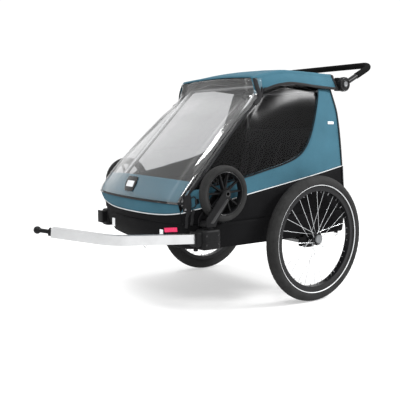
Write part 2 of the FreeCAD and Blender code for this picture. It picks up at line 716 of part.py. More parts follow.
def make_caster():
    stem = rod("stem_rod", "z", "StemRadius", ("ArmX", "StemY", "SocketBottom+9"),
               "SocketTop-SocketBottom-7")
    collar = rod("stem_collar", "z", "20", ("ArmX", "StemY", "SocketTop+1"), "4")
    spigot = rod("stem_spigot", "z", "7", ("ArmX", "StemY", "SocketTop+2"), "20")
    both_sides("caster_stem", fuse("caster_stem_left", stem, collar, spigot))

    low = "CasterX-CasterHalf-7.5"
    high = "CasterX+CasterHalf+7.5"
    crown = box("crown_block", (low, high), ("StemY-20", "StemY+20"), ("SocketTop+6", "SocketTop+29"))
    bore = rod("crown_bore", "z", "7+RunClear", ("ArmX", "StemY", "SocketTop"), "23")
    hub_y = size("CasterY")
    hub_z = size("CasterZ")
    foot = size("SocketTop")
    stem_y = size("StemY")
    cheek = [(stem_y - 20, foot + 6), (stem_y + 20, foot + 6), (stem_y + 24, foot + 22),
             (hub_y + 13, hub_z - 8), (hub_y + 13, hub_z + 6), (hub_y + 5, hub_z + 13),
             (hub_y - 6, hub_z + 13), (hub_y - 13, hub_z + 6), (stem_y - 22, foot + 30)]
    outer_x = size(high)
    inner_x = size(low)
    plates = [shaped("cheek_outer", prism(cheek, outer_x - 5.5, outer_x)),
              shaped("cheek_inner", prism(cheek, inner_x, inner_x + 5.5))]
    axle = rod("caster_axle", "x", "CasterAxle", (low, "CasterY", "CasterZ"), "2*CasterHalf+15")
    both_sides("caster_fork", cut("caster_fork_left", fuse("fork_solid", crown, axle, *plates), bore))

    place = ("CasterX", "CasterY", "CasterZ")
    tyre = turned("caster_tyre_left", [
        ("-12", "CasterCore"),
        ("12", "CasterCore"),
        ("16", "CasterCore+4"),
        ("CasterHalf", "CasterRadius-9"),
        ("12", "CasterRadius-2"),
        ("5", "CasterRadius"),
        ("-5", "CasterRadius"),
        ("-12", "CasterRadius-2"),
        ("-CasterHalf", "CasterRadius-9"),
        ("-16", "CasterCore+4"),
    ], place)
    both_sides("caster_tyre", tyre)

    rim = turned("core_rim", [
        ("-12", "CasterCore-8"),
        ("12", "CasterCore-8"),
        ("12", "CasterCore"),
        ("-12", "CasterCore"),
    ], place)
    hub = rod("core_hub", "x", "15", ("CasterX-15", "CasterY", "CasterZ"), "30")
    arms = []
    for i in range(5):
        arm = prism([(-9, 12), (9, 12), (6, size("CasterCore") - 5), (-6, size("CasterCore") - 5)], -6, 6)
        turn = Rotation(Vector(1, 0, 0), 72 * i + 20)
        centre = Vector(size("CasterX"), hub_y, hub_z)
        arms.append(shaped("core_arm_%d" % i, arm, Placement(centre, turn)))
    bore = rod("core_bore", "x", "CasterAxle+RunClear", ("CasterX-30", "CasterY", "CasterZ"), "60")
    both_sides("caster_core", cut("caster_core_left", fuse("core_solid", rim, hub, *arms), bore))


# ---------------------------------------------------------------- hitch

def make_hitch():
    rear, bend, ball = points_of([
        ("ArmX", "ArmRearY-1", "ArmRearZ"),
        ("ArmX", "ArmBendY", "ArmBendZ"),
        ("BallX", "BallY", "BallZ"),
    ])
    reach = (ball - bend).normalize()
    tip = ball - reach * 52
    width = size("ArmWidth")
    height = size("ArmHeight")
    wall = size("ArmWall")
    outer = square_sweep([rear, bend, tip], 110, width, height)
    inner = square_sweep([rear, bend, tip], 110, width - 2 * wall, height - 2 * wall)
    slot = Part.makeBox(6.2, 32, 12, Vector(rear.x - 3.1, size("StemY") - 55, rear.z - 22))
    arm = outer.cut(inner).cut(slot)
    node("hitch_arm", shaped("hitch_arm", arm))

    plug = Part.makeCylinder(10, 34, tip - reach * 24, reach)
    collar = Part.makeCylinder(14, 10, tip + reach * 0.2, reach)
    neck = Part.makeCylinder(7, 40, tip + reach * 4, reach)
    head = Part.makeSphere(size("BallRadius"), ball)
    coupling = collar.fuse([plug, neck, head]).removeSplitter()
    node("hitch_ball", shaped("hitch_ball", coupling))

    pin_y = "StemY-51"
    knob = rod("latch_knob", "z", "8", ("ArmX", pin_y, "262"), "12")
    pin = rod("latch_pin", "z", "3", ("ArmX", pin_y, "272"), "20")
    node("hitch_latch", fuse("hitch_latch", knob, pin))


# ---------------------------------------------------------------- seat and small parts

def make_seat():
    half = size("SeatHalf")
    low = size("SeatZ")
    base = prism([(92, low), (392, low), (392, low + 24), (380, low + 30), (110, low + 32), (92, low + 22)],
                 -half, half)
    node("seat_base", shaped("seat_base", base))
    back = prism([(396, low + 28), (424, low + 26), (486, 690), (478, 702), (462, 702), (452, 690)],
                 -half, half)
    node("seat_back", shaped("seat_back", back))

    front = rod("seat_front_tube", "x", "9", ("-RailX+12", "104", "SeatZ-10"), "2*RailX-24")
    rear = rod("seat_rear_tube", "x", "9", ("-SeatHalf", "384", "SeatZ-10"), "2*SeatHalf")
    posts = []
    for i, x in enumerate(("-200", "200")):
        for j, y in enumerate(("104", "384")):
            start = (x, y, "FloorZ+FloorThick")
            posts.append(rod("seat_post_%d%d" % (i, j), "z", "7", start, "SeatZ-FloorZ-FloorThick-12"))
    node("seat_frame", fuse("seat_frame", front, rear, *posts))

    straps = []
    buckles = []
    face = [(391, 342), (451, 688), (447.5, 688.6), (387.5, 342.6)]
    pad = [(406, 450), (432, 600), (428, 600.7), (402, 450.7)]
    for seat_x in (-111, 111):
        for side in (-1, 1):
            x = seat_x + side * 55
            straps.append(prism([(y - 2, z) for y, z in face], x - 13, x + 13))
        crotch = Part.makeBox(26, 110, 2.5, Vector(seat_x - 13, 250, low + 33.5))
        straps.append(crotch)
        buckles.append(Part.makeBox(44, 36, 12, Vector(seat_x - 22, 214, low + 33)))
        for side in (-1, 1):
            x = seat_x + side * 55
            buckles.append(prism([(y - 6, z) for y, z in pad], x - 20, x + 20))
    node("harness_straps", shaped("harness_straps", Part.makeCompound(straps)))
    node("harness_buckles", shaped("harness_buckles", Part.makeCompound(buckles)))


def make_trim():
    tab = Part.makeBox(60, 60, 22, Vector(200, -310, 313)).common(cabin(-3.3).cut(cabin(-0.3)))
    node("pull_tab", shaped("pull_tab", tab))
    rings = []
    for x, y, z in ((40, -262, 238), (280, 540, 238)):
        ring = Part.makeTorus(9, 2, Vector(x, y, z), Vector(0, 1, 0))
        plate = Part.makeBox(16, 3, 3.6, Vector(x - 8, y - 1.5, z + 8))
        rings.append(ring.fuse(plate))
    node("tie_rings", shaped("tie_rings", Part.makeCompound(rings)))


make_wheel()
make_lower_frame()
make_cabin_skin()
make_roof()
make_canopy_frame()
make_rear_legs()
make_handlebar()
make_socket()
make_caster()
make_hitch()
make_seat()
make_trim()

doc.recompute()
faults = []
for made in doc.Objects:
    if "Invalid" in made.State or "Error" in made.State:
        faults.append("%s: %s" % (made.Name, made.State))
for made in nodes:
    if made.Shape.isNull() or not made.Shape.isValid() or not made.Shape.Solids:
        faults.append("%s has no valid solid" % made.Label)
if faults:
    raise RuntimeError("; ".join(faults))

os.makedirs("parts", exist_ok=True)
for made in nodes:
    made.Shape.exportStep("parts/%s.step" % made.Label)
print("%d sub-parts written" % len(nodes))
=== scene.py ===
"""Looks of the child bicycle trailer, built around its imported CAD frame. Metres, +Z up, front at -Y."""
import math

import bmesh
import bpy
from mathutils import Matrix, Vector, noise


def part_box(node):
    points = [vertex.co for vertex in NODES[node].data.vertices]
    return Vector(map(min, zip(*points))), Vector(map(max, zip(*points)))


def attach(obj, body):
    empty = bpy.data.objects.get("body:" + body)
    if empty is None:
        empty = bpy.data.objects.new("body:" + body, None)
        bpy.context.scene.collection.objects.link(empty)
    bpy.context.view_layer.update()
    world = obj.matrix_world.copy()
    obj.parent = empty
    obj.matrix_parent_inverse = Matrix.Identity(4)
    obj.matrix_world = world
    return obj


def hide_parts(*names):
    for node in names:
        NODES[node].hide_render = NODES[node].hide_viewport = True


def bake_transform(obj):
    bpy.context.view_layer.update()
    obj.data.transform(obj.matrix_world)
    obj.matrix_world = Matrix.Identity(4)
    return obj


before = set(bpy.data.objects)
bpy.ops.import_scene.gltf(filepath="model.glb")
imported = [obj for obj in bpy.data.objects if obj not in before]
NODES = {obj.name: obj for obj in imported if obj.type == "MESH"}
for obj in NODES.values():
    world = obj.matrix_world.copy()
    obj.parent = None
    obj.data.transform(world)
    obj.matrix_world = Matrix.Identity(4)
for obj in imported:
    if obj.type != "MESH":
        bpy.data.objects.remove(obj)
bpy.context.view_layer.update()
MM = 0.001
SIDES = ((1, "_left"), (-1, "_right"))
X_AXIS = Vector((1, 0, 0))


# ------------------------------------------------------------ places and lines

def at(x, y, z):
    return Vector((x, y, z))


def steps(low, high, count):
    """count + 1 values from low to high."""
    return [low + (high - low) * i / count for i in range(count + 1)]


def around(count, shift=0.0):
    """Cosine and sine at count places round a circle."""
    angles = [2 * math.pi * (k + shift) / count for k in range(count)]
    return [(math.cos(a), math.sin(a)) for a in angles]


def ring(centre, radius, count):
    """A circle that stands square to X."""
    return [centre + at(0, radius * c, radius * s) for c, s in around(count)]


def in_metres(points):
    return [(a * MM, b * MM) for a, b in points]


def both_halves(half):
    """An outline in millimetres that ends on the middle line, completed by its mirror, in metres."""
    right = in_metres(half)
    return right + [(-u, r) for u, r in right[-2::-1]]


def heading(points, i, closed=False):
    """Direction of a path at its i-th point."""
    count = len(points)
    if closed:
        return (points[(i + 1) % count] - points[i - 1]).normalized()
    return (points[min(i + 1, count - 1)] - points[max(i - 1, 0)]).normalized()


def square(direction, ahead):
    """The direction, made square to ahead."""
    return (direction - ahead * ahead.dot(direction)).normalized()


def each(normals, count):
    """One direction for each place, from a list or from a single (x, y, z)."""
    return normals if isinstance(normals, list) else [Vector(normals)] * count


def soften(points, rounds=2):
    """Corner cutting, which turns a coarse line into a smooth one with its ends kept."""
    for _ in range(rounds):
        finer = [points[0]]
        for a, b in zip(points, points[1:]):
            finer += [tuple(p * s + q * (1 - s) for p, q in zip(a, b)) for s in (0.75, 0.25)]
        points = finer + [points[-1]]
    return points


def even(points, count):
    """The line through points, resampled into count places the same distance apart."""
    points = [Vector(p) for p in points]
    lengths = [0.0]
    for a, b in zip(points, points[1:]):
        lengths.append(lengths[-1] + (b - a).length)
    result = []
    k = 0
    for target in steps(0.0, lengths[-1], count - 1):
        while k < len(points) - 2 and lengths[k + 1] < target:
            k += 1
        span = lengths[k + 1] - lengths[k] or 1.0
        result.append(points[k].lerp(points[k + 1], (target - lengths[k]) / span))
    return result


def resample(values, count):
    """Values spread over count places."""
    last = len(values) - 1
    result = []
    for place in steps(0, last, count - 1):
        k = min(int(place), last - 1)
        result.append(values[k].lerp(values[k + 1], place - k))
    return result


# ------------------------------------------------------------ meshes

def show(name, mesh):
    obj = bpy.data.objects.new(name, mesh)
    bpy.context.scene.collection.objects.link(obj)
    return obj


def add_object(name, points, faces, material):
    mesh = bpy.data.meshes.new(name)
    mesh.from_pydata([tuple(p) for p in points], [], faces)
    mesh.update()
    mesh.materials.append(MAT[material])
    for polygon in mesh.polygons:
        polygon.use_smooth = True
    return show(name, mesh)


def grid(name, rows, material, round_u=False, round_v=False):
    """A quad sheet through rows of points; round_u closes each row, round_v closes the stack."""
    across = len(rows[0])
    faces = []
    for j in range(len(rows) - 1 + round_v):
        k = (j + 1) % len(rows)
        for i in range(across - 1 + round_u):
            n = (i + 1) % across
            faces.append((j * across + i, j * across + n, k * across + n, k * across + i))
    return add_object(name, [p for row in rows for p in row], faces, material)


def settle(obj):
    """Applies the modifiers and returns the same object with its final mesh."""
    graph = bpy.context.evaluated_depsgraph_get()
    final = bpy.data.meshes.new_from_object(obj.evaluated_get(graph))
    obj.modifiers.clear()
    obj.data = final
    return obj


def reshape(obj, kind, **values):
    """Runs one modifier on the object."""
    modifier = obj.modifiers.new(kind.lower(), kind)
    for key, value in values.items():
        setattr(modifier, key, value)
    return settle(obj)


def edit(obj, change):
    """Runs change(mesh) on the object's mesh."""
    mesh = bmesh.new()
    mesh.from_mesh(obj.data)
    change(mesh)
    mesh.to_mesh(obj.data)
    mesh.free()
    return obj


def face_out(obj):
    """Makes a closed mesh's faces point outwards."""
    return edit(obj, lambda mesh: bmesh.ops.recalc_face_normals(mesh, faces=mesh.faces))


def crease(obj, angle):
    """Smooth shading, except over edges that turn by more than angle degrees."""
    def mark(mesh):
        for face in mesh.faces:
            face.smooth = True
        for edge in mesh.edges:
            if len(edge.link_faces) == 2 and edge.calc_face_angle(0) > math.radians(angle):
                edge.smooth = False
    return edit(obj, mark)


def close_ends(obj, angle):
    """Fills the open ends of a bar."""
    def fill(mesh):
        bmesh.ops.holes_fill(mesh, edges=[e for e in mesh.edges if e.is_boundary], sides=0)
    return crease(face_out(edit(obj, fill)), angle)


def thicken(obj, thickness, lined=True):
    """Turns a sheet into cloth of a real thickness, with a lining on its back."""
    if lined:
        obj.data.materials.append(MAT["lining"])
    return reshape(obj, "SOLIDIFY", thickness=thickness, offset=-1, use_even_offset=False,
                   material_offset=int(lined))


def turn_out(obj, guide):
    """Flips a sheet that looks against guide, which is a direction or a function of the place."""
    way = guide if callable(guide) else lambda place: Vector(guide)
    if sum(p.normal.dot(way(p.center)) * p.area for p in obj.data.polygons) < 0:
        obj.data.flip_normals()
    return obj


def tube(name, points, radius, material, corners=8, closed=False, flat=1.0):
    """A round bar along points; radius may be a list, and flat squeezes one way."""
    radii = radius if isinstance(radius, list) else [radius] * len(points)
    rows = []
    side = None
    for i, (point, r) in enumerate(zip(points, radii)):
        ahead = heading(points, i, closed)
        if side is None:
            guide = at(0, 0, 1) if abs(ahead.z) < 0.9 else at(0, 1, 0)
            side = ahead.cross(guide).normalized()
        side = square(side, ahead)
        up = side.cross(ahead)
        rows.append([point + side * (r * c) + up * (r * flat * s) for c, s in around(corners)])
    obj = grid(name, rows, material, round_u=True, round_v=closed)
    return face_out(obj) if closed else close_ends(obj, 50)


def ribbon(name, points, normals, width, thickness, material):
    """A flat strap along points, lying square to normals."""
    rows = []
    for i, (point, normal) in enumerate(zip(points, each(normals, len(points)))):
        ahead = heading(points, i)
        normal = square(normal, ahead)
        side = ahead.cross(normal)
        half = side * (width / 2)
        lift = normal * (thickness / 2)
        edge = side * (width / 2 - thickness * 0.4)
        rows.append([point + edge + lift, point + half, point + edge - lift,
                     point - edge - lift, point - half, point - edge + lift])
    return close_ends(grid(name, rows, material, round_u=True), 60)


def lathe(name, outline, centre, material, count):
    """Turns a closed outline of (along x, radius), in millimetres, about a line through centre along X."""
    rows = [[centre + at(u * MM, r * MM * c, r * MM * s) for u, r in outline] for c, s in around(count)]
    return crease(face_out(grid(name, rows, material, round_u=True, round_v=True)), 40)


def bevelled(obj, **values):
    return crease(reshape(obj, "BEVEL", limit_method="ANGLE", **values), 40)


def block(name, low, high, bevel, material, segments=3):
    """A box with rounded edges."""
    xs, ys, zs = zip(low, high)
    corners = [(x, y, z) for z in zs for y in ys for x in xs]
    faces = [(0, 2, 3, 1), (4, 5, 7, 6), (0, 1, 5, 4), (2, 6, 7, 3), (0, 4, 6, 2), (1, 3, 7, 5)]
    return bevelled(add_object(name, corners, faces, material), width=bevel, segments=segments)


def prism(name, first, second, material, **values):
    """A solid between two matching rings of points, with its edges rounded."""
    count = len(first)
    faces = [tuple(range(count - 1, -1, -1)), tuple(range(count, 2 * count))]
    faces += [(i, (i + 1) % count, count + (i + 1) % count, count + i) for i in range(count)]
    return bevelled(face_out(add_object(name, first + second, faces, material)), **values)


def plate(name, outline, a, b, bevel, material, segments):
    """A flat piece: a closed (y, z) outline between two x places."""
    first, second = ([(x, y, z) for y, z in outline] for x in (min(a, b), max(a, b)))
    return prism(name, first, second, material, width=bevel, segments=segments, angle_limit=0.6)


def join(name, pieces):
    """Makes one object of several."""
    mesh = bmesh.new()
    materials = []
    for piece in pieces:
        start = len(mesh.faces)
        mesh.from_mesh(piece.data)
        mesh.faces.ensure_lookup_table()
        own = list(piece.data.materials)
        materials += [material for material in own if material not in materials]
        for face in mesh.faces[start:]:
            face.material_index = materials.index(own[face.material_index])
    data = bpy.data.meshes.new(name)
    mesh.to_mesh(data)
    mesh.free()
    for material in materials:
        data.materials.append(material)
    for piece in pieces:
        bpy.data.objects.remove(piece)
    return show(name, data)


# ------------------------------------------------------------ how pieces move

def hold(obj, body=None, stands_for=None):
    """Rides a piece on a body, or else bakes its place into its mesh so that it stays fixed."""
    if body:
        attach(obj, body)
    else:
        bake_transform(obj)
    if stands_for:
        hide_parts(stands_for)


def sheet(name, rows, material, guide, stands_for=None, body=None,
          thickness=0.001, closed=False, lined=True):
    """A piece of cloth: a sheet turned out along guide, thickened, then held on a body or fixed in place."""
    obj = turn_out(grid(name, rows, material, round_u=closed), guide)
    thicken(obj, thickness, lined)
    hold(obj, body, stands_for)


# ------------------------------------------------------------ materials

class Nodes:
    """Short calls to build a node tree."""

    def __init__(self, name):
        self.material = bpy.data.materials.new(name)
        self.material.use_nodes = True
        self.tree = self.material.node_tree
        self.shader = self.tree.nodes["Principled BSDF"]
        self.place = self.add("TexCoord").outputs["Object"]

    def add(self, kind, **values):
        made = self.tree.nodes.new("ShaderNode" + kind)
        for key, value in values.items():
            setattr(made, key, value)
        return made

    def fill(self, made, *first, **named):
        """Links or sets a node's inputs, the first ones in order and the others by name."""
        pairs = list(zip(made.inputs, first))
        pairs += [(made.inputs[key.replace("_", " ")], value) for key, value in named.items()]
        for socket, value in pairs:
            if isinstance(value, bpy.types.NodeSocket):
                self.tree.links.new(value, socket)
            else:
                socket.default_value = value
        return made

    def math(self, operation, a, b, clamp=False):
        return self.fill(self.add("Math", operation=operation, use_clamp=clamp), a, b).outputs[0]

    def mix(self, share, a, b):
        return self.fill(self.add("MixShader"), share, a, b).outputs[0]

    def noise(self, scale, detail=3.0, rough=0.5, place=None):
        return self.fill(self.add("TexNoise"), Scale=scale, Detail=detail, Roughness=rough,
                         Vector=place or self.place).outputs["Fac"]

    def stretch(self, *scale):
        return self.fill(self.add("Mapping"), Vector=self.place, Scale=scale).outputs["Vector"]

    def wave(self, scale, axis):
        return self.fill(self.add("TexWave", bands_direction=axis), Scale=scale, Distortion=0.3,
                         Vector=self.place).outputs["Fac"]

    def span(self, value, low, high):
        return self.fill(self.add("MapRange"), Value=value, To_Min=low, To_Max=high).outputs["Result"]

    def bump(self, height, strength, distance, **under):
        return self.fill(self.add("Bump"), Strength=strength, Distance=distance, Height=height,
                         **under).outputs["Normal"]

    def set(self, **inputs):
        self.fill(self.shader, **inputs)

    def tones(self, value, color, *stops):
        """Base colour that goes from one share of color to another as value rises."""
        made = self.fill(self.add("ValToRGB"), value)
        for element, (place, factor) in zip(made.color_ramp.elements, stops):
            element.position = place
            element.color = (*(min(1.0, c * factor) for c in color), 1)
        self.set(Base_Color=made.outputs["Color"])


def finish(m, tone, color, dark, light, low=0.35, high=0.75, **look):
    """Colour that varies round color, and the shader's other values."""
    m.tones(tone, color, (low, dark), (high, light))
    m.set(**look)
    return m.material


def cloth(name, color, thread=0.0016, sheen=0.04, wrinkle=0.25):
    """Coated woven polyester: a plain weave, slightly uneven colour and soft wrinkles."""
    m = Nodes(name)
    scale = 1.0 / thread / 2
    weave = m.math("ADD", m.wave(scale, "X"), m.wave(scale, "Y"))
    weave = m.math("ADD", weave, m.wave(scale, "Z"))
    grain = m.noise(420.0, 2.0)
    tone = m.math("ADD", m.math("MULTIPLY", m.noise(9.0, 4.0, 0.6), 0.7), m.math("MULTIPLY", grain, 0.3))
    folds = m.bump(m.noise(7.0, 3.0, 0.55), wrinkle, 0.012)
    return finish(m, tone, color, 0.86, 1.14, 0.3, 0.7, Roughness=m.span(grain, 0.66, 0.80),
                  Normal=m.bump(weave, 0.35, 0.0003, Normal=folds), Sheen_Weight=sheen,
                  Sheen_Roughness=0.5, Specular_IOR_Level=0.04)


def webbing(name, color, thread=0.0022):
    """Flat woven strap with a rib across it."""
    m = Nodes(name)
    rib = m.math("ADD", m.wave(1 / thread, "Y"), m.wave(1 / thread, "Z"))
    grain = m.noise(600.0, 2.0)
    return finish(m, grain, color, 0.8, 1.25, 0.3, 0.7, Roughness=m.span(grain, 0.55, 0.75),
                  Normal=m.bump(rib, 0.5, 0.0004), Sheen_Weight=0.05, Specular_IOR_Level=0.15)


def plastic(name, color, rough=0.45, depth=0.00015, gloss=0.22):
    """Moulded plastic with a fine spark-eroded grain and faint scuffs."""
    m = Nodes(name)
    scuff = m.noise(35.0, 5.0, 0.7)
    return finish(m, scuff, color, 0.85, 1.3, Roughness=m.span(scuff, rough - 0.08, rough + 0.1),
                  Normal=m.bump(m.noise(900.0, 2.0), 0.4, depth), Specular_IOR_Level=gloss)


def rubber(name, color, rough=0.75, gloss=0.12):
    """Matt rubber with a little dust in its grain."""
    m = Nodes(name)
    dust = m.noise(16.0, 4.0, 0.65)
    return finish(m, dust, color, 0.8, 1.6, Roughness=m.span(dust, rough - 0.08, rough + 0.12),
                  Normal=m.bump(m.noise(700.0, 3.0), 0.3, 0.0002), Specular_IOR_Level=gloss)


def metal(name, color, rough=0.3, metallic=1.0, brush=(1, 1, 1), gloss=0.5):
    """Anodised or brushed metal; brush stretches the scratches along one axis."""
    m = Nodes(name)
    lines = m.noise(900.0, 3.0, 0.6, m.stretch(*brush))
    return finish(m, m.noise(18.0, 3.0), color, 0.93, 1.04, 0.3, 0.7, Metallic=metallic,
                  Roughness=m.span(lines, rough - 0.07, rough + 0.1),
                  Normal=m.bump(lines, 0.08, 0.0001), Specular_IOR_Level=gloss)


def film(name, tint, shine, haze, haze_color, rough, ripple=0.12):
    """Clear sheet: you see through it, and it mirrors more the flatter you look along it."""
    m = Nodes(name)
    ripples = m.bump(m.noise(5.0, 3.0, 0.5), ripple, 0.02)
    ripples = m.bump(m.noise(24.0, 2.0, 0.5, m.stretch(1.0, 0.35, 0.35)), ripple * 0.6, 0.004, Normal=ripples)
    clear = m.fill(m.add("BsdfTransparent"), Color=(*tint, 1)).outputs[0]
    gloss = m.fill(m.add("BsdfGlossy"), Color=(1, 1, 1, 1), Roughness=rough, Normal=ripples).outputs[0]
    facing = m.fill(m.add("LayerWeight"), Blend=0.5, Normal=ripples).outputs["Facing"]
    slant = m.math("MULTIPLY", m.math("POWER", facing, 5.0), 0.96)
    share = m.math("MULTIPLY", m.math("ADD", slant, 0.04), shine, clamp=True)
    m.set(Base_Color=(*haze_color, 1), Roughness=0.35)
    cloudy = m.mix(m.span(m.noise(3.0, 2.0), haze * 0.7, haze * 1.3), m.mix(share, clear, gloss),
                   m.shader.outputs[0])
    m.fill(m.tree.nodes["Material Output"], Surface=cloudy)
    return m.material


def ground(name):
    """White studio floor that glows a little, so that only shadows show on it."""
    m = Nodes(name)
    m.tones(m.noise(0.6, 2.0), (1, 1, 1), (0.3, 0.58), (0.7, 0.60))
    m.set(Roughness=0.9, Specular_IOR_Level=0.1, Emission_Color=(1, 1, 1, 1), Emission_Strength=0.42)
    return m.material


MAT = {
    "blue": cloth("blue_fabric", (0.036, 0.101, 0.138)),
    "black": cloth("black_fabric", (0.0055, 0.0055, 0.006), sheen=0.0, wrinkle=0.35),
    "lining": cloth("black_lining", (0.016, 0.016, 0.017), sheen=0.05),
    "binding": webbing("black_binding", (0.008, 0.008, 0.009), 0.003),
    "webbing": webbing("black_webbing", (0.012, 0.012, 0.013)),
    "pink": webbing("pink_webbing", (0.72, 0.035, 0.12)),
    "piping": cloth("pale_piping", (0.55, 0.57, 0.58), thread=0.001, wrinkle=0.05),
    "seat": cloth("seat_fabric", (0.022, 0.023, 0.025), thread=0.0024),
    "pad": cloth("harness_pad_fabric", (0.02, 0.02, 0.022), thread=0.002),
    "plastic": plastic("black_plastic", (0.0065, 0.0065, 0.007), gloss=0.09),
    "gloss": plastic("glossy_black_plastic", (0.009, 0.009, 0.010), rough=0.18, depth=0.00003, gloss=0.4),
    "grey": plastic("grey_plastic", (0.13, 0.135, 0.14), rough=0.4),
    "tyre": rubber("tyre_rubber", (0.017, 0.017, 0.017)),
    "caster_tyre": rubber("caster_rubber", (0.015, 0.015, 0.015), rough=0.65),
    "foam": rubber("foam_grip", (0.0045, 0.0045, 0.0045), rough=0.9, gloss=0.04),
    "alu": metal("anodised_aluminium", (0.54, 0.545, 0.55), 0.3, brush=(1, 0.05, 1)),
    "frame_alu": metal("frame_aluminium", (0.26, 0.262, 0.265), 0.38),
    "black_metal": metal("black_coated_metal", (0.007, 0.007, 0.0075), 0.35, metallic=0.0, gloss=0.12),
    "rim": metal("black_rim", (0.009, 0.009, 0.010), 0.3, metallic=0.1, gloss=0.2),
    "spoke": metal("steel_spoke", (0.54, 0.55, 0.56), 0.25),
    "steel": metal("steel", (0.6, 0.6, 0.61), 0.3),
    "dull_steel": metal("dull_steel", (0.30, 0.30, 0.31), 0.4),
    "stripe": plastic("reflective_stripe", (0.62, 0.63, 0.64), rough=0.35),
    "white_reflector": plastic("white_reflector", (0.72, 0.73, 0.74), rough=0.12, depth=0.00005),
    "red_reflector": plastic("red_reflector", (0.5, 0.012, 0.015), rough=0.12, depth=0.00005),
    "clear": film("clear_film", (0.975, 0.978, 0.98), 1.0, 0.006, (0.70, 0.71, 0.72), 0.10),
    "smoked": film("smoked_film", (0.69, 0.69, 0.695), 0.17, 0.008, (0.02, 0.02, 0.022), 0.20, 0.02),
    "badge": plastic("badge_plate", (0.55, 0.56, 0.57), rough=0.3),
    "thread": cloth("blue_thread", (0.10, 0.24, 0.32), thread=0.0006, wrinkle=0.0),
    "dark_thread": cloth("black_thread", (0.04, 0.04, 0.042), thread=0.0006, wrinkle=0.0),
    "floor": ground("floor"),
}


# ------------------------------------------------------------ the cabin's shape

# The plan of the cabin at a few heights, in millimetres, as in the CAD source: height, front middle y,
# front corner y, front corner x, shoulder x, shoulder y, widest x, rear corner y, rear corner x.
SECTIONS = [
    (250, -252, -222, 262, 312, -118, 317, 551, 308),
    (300, -286, -246, 278, 317, -130, 319, 556, 309),
    (370, -303, -256, 284, 318, -150, 320, 560, 310),
    (420, -309, -275, 288, 318, -165, 320, 558, 307),
    (496, -284, -221, 292, 312, -130, 316, 554, 301),
    (728, -28, 9, 264, 278, 62, 288, 534, 283),
    (822, 75, 108, 250, 262, 150, 276, 508, 272),
    (880, 98, 112, 238, 250, 160, 264, 490, 260),
]
REAR_BOW = 8 * MM
CORNER_BULGE = 8 * MM

# The roof along the trailer: y, edge height, edge x, valance bottom height, valance bottom x.
ROOF = [
    (104, 877, 236, 811, 252),
    (160, 895, 241, 834, 264),
    (210, 905, 245, 849, 270),
    (275, 913, 248, 857, 275),
    (420, 911, 252, 848, 279),
    (527, 905, 258, 843, 283),
]
CROWN = 8 * MM

# Outlines on the side, as (y, height).
WINDOW_TOP = [(134, 816), (160, 830), (205, 846), (250, 853), (310, 856), (365, 851), (424, 843)]
WINDOW_REAR = [(424, 843), (415, 798), (390, 717), (364, 657), (328, 605), (284, 571), (211, 546),
               (103, 524), (8, 502), (-205, 470)]
PIPING = [(556, 528), (525, 523), (324, 489), (14, 442), (-196, 404), (-230, 398), (-262, 388)]

TUB_TOP = 345 * MM
SEAM = 420 * MM
KNEE = 496 * MM
FRONT_PIPING = 372 * MM
PILLAR = 20 * MM
THICK_CLOTH = 1.2 * MM


class Smooth:
    """A monotone cubic through given places, which never overshoots between them."""

    def __init__(self, places, values):
        self.places = places
        self.values = values
        gaps = [b - a for a, b in zip(places, places[1:])]
        rises = [(b - a) / g for a, b, g in zip(values, values[1:], gaps)]
        inner = [0.0 if r * s <= 0 else 2 * r * s / (r + s) for r, s in zip(rises, rises[1:])]
        self.slopes = [rises[0]] + inner + [rises[-1]]

    def __call__(self, place):
        k = 0
        while k < len(self.places) - 2 and place > self.places[k + 1]:
            k += 1
        gap = self.places[k + 1] - self.places[k]
        t = (place - self.places[k]) / gap
        a, b = self.values[k], self.values[k + 1]
        p, q = self.slopes[k] * gap, self.slopes[k + 1] * gap
        if t < 0:
            return a + p * t
        if t > 1:
            return b + q * (t - 1)
        return a + t * (p + t * (3 * (b - a) - 2 * p - q + t * (p + q - 2 * (b - a))))


def columns(table):
    """One smooth curve per column of a table, over its first column, in metres."""
    first, *others = zip(*table)
    return [Smooth([p * MM for p in first], [v * MM for v in column]) for column in others]


FRONT_MIDDLE, CORNER_Y, CORNER_X, SHOULDER_X, SHOULDER_Y, WIDEST, REAR_Y, REAR_X = columns(SECTIONS)
ROOF_EDGE, ROOF_X, VALANCE_Z, VALANCE_X = columns(ROOF)
ROOF_FRONT = ROOF[0][0] * MM
ROOF_REAR = ROOF[-1][0] * MM
WINDOW_ARC = Smooth(*zip(*in_metres(WINDOW_TOP)))

window_top = soften(in_metres(WINDOW_TOP))
window_rear = soften(in_metres(WINDOW_REAR))
piping_line = soften(in_metres(PIPING))


def bow_x(y, ax, ay, mx, my, bx, by):
    """x at y on the quadratic curve from a through m, halfway, to b."""
    cy = 2 * my - (ay + by) / 2
    cx = 2 * mx - (ax + bx) / 2
    p, q, r = ay - 2 * cy + by, 2 * (cy - ay), ay - y
    if abs(p) < 1e-9:
        t = -r / q
    else:
        t = (-q + math.sqrt(max(q * q - 4 * p * r, 0.0))) / (2 * p)
    return ax * (1 - t) ** 2 + 2 * cx * t * (1 - t) + bx * t * t


def side_x(y, z):
    """Half width of the cabin at a place on its side."""
    sx, sy = SHOULDER_X(z), SHOULDER_Y(z)
    if y < sy:
        cx, cy = CORNER_X(z), CORNER_Y(z)
        reach = math.hypot(sx - cx, sy - cy)
        mx = (cx + sx) / 2 + CORNER_BULGE * (sy - cy) / reach
        my = (cy + sy) / 2 - CORNER_BULGE * (sx - cx) / reach
        return bow_x(y, cx, cy, mx, my, sx, sy)
    return bow_x(y, sx, sy, WIDEST(z), (sy + REAR_Y(z)) / 2, REAR_X(z), REAR_Y(z))


def front_y(x, z):
    return FRONT_MIDDLE(z) + (CORNER_Y(z) - FRONT_MIDDLE(z)) * (x / CORNER_X(z)) ** 2


def rear_y(x, z):
    return REAR_Y(z) + REAR_BOW * (1 - (x / REAR_X(z)) ** 2)


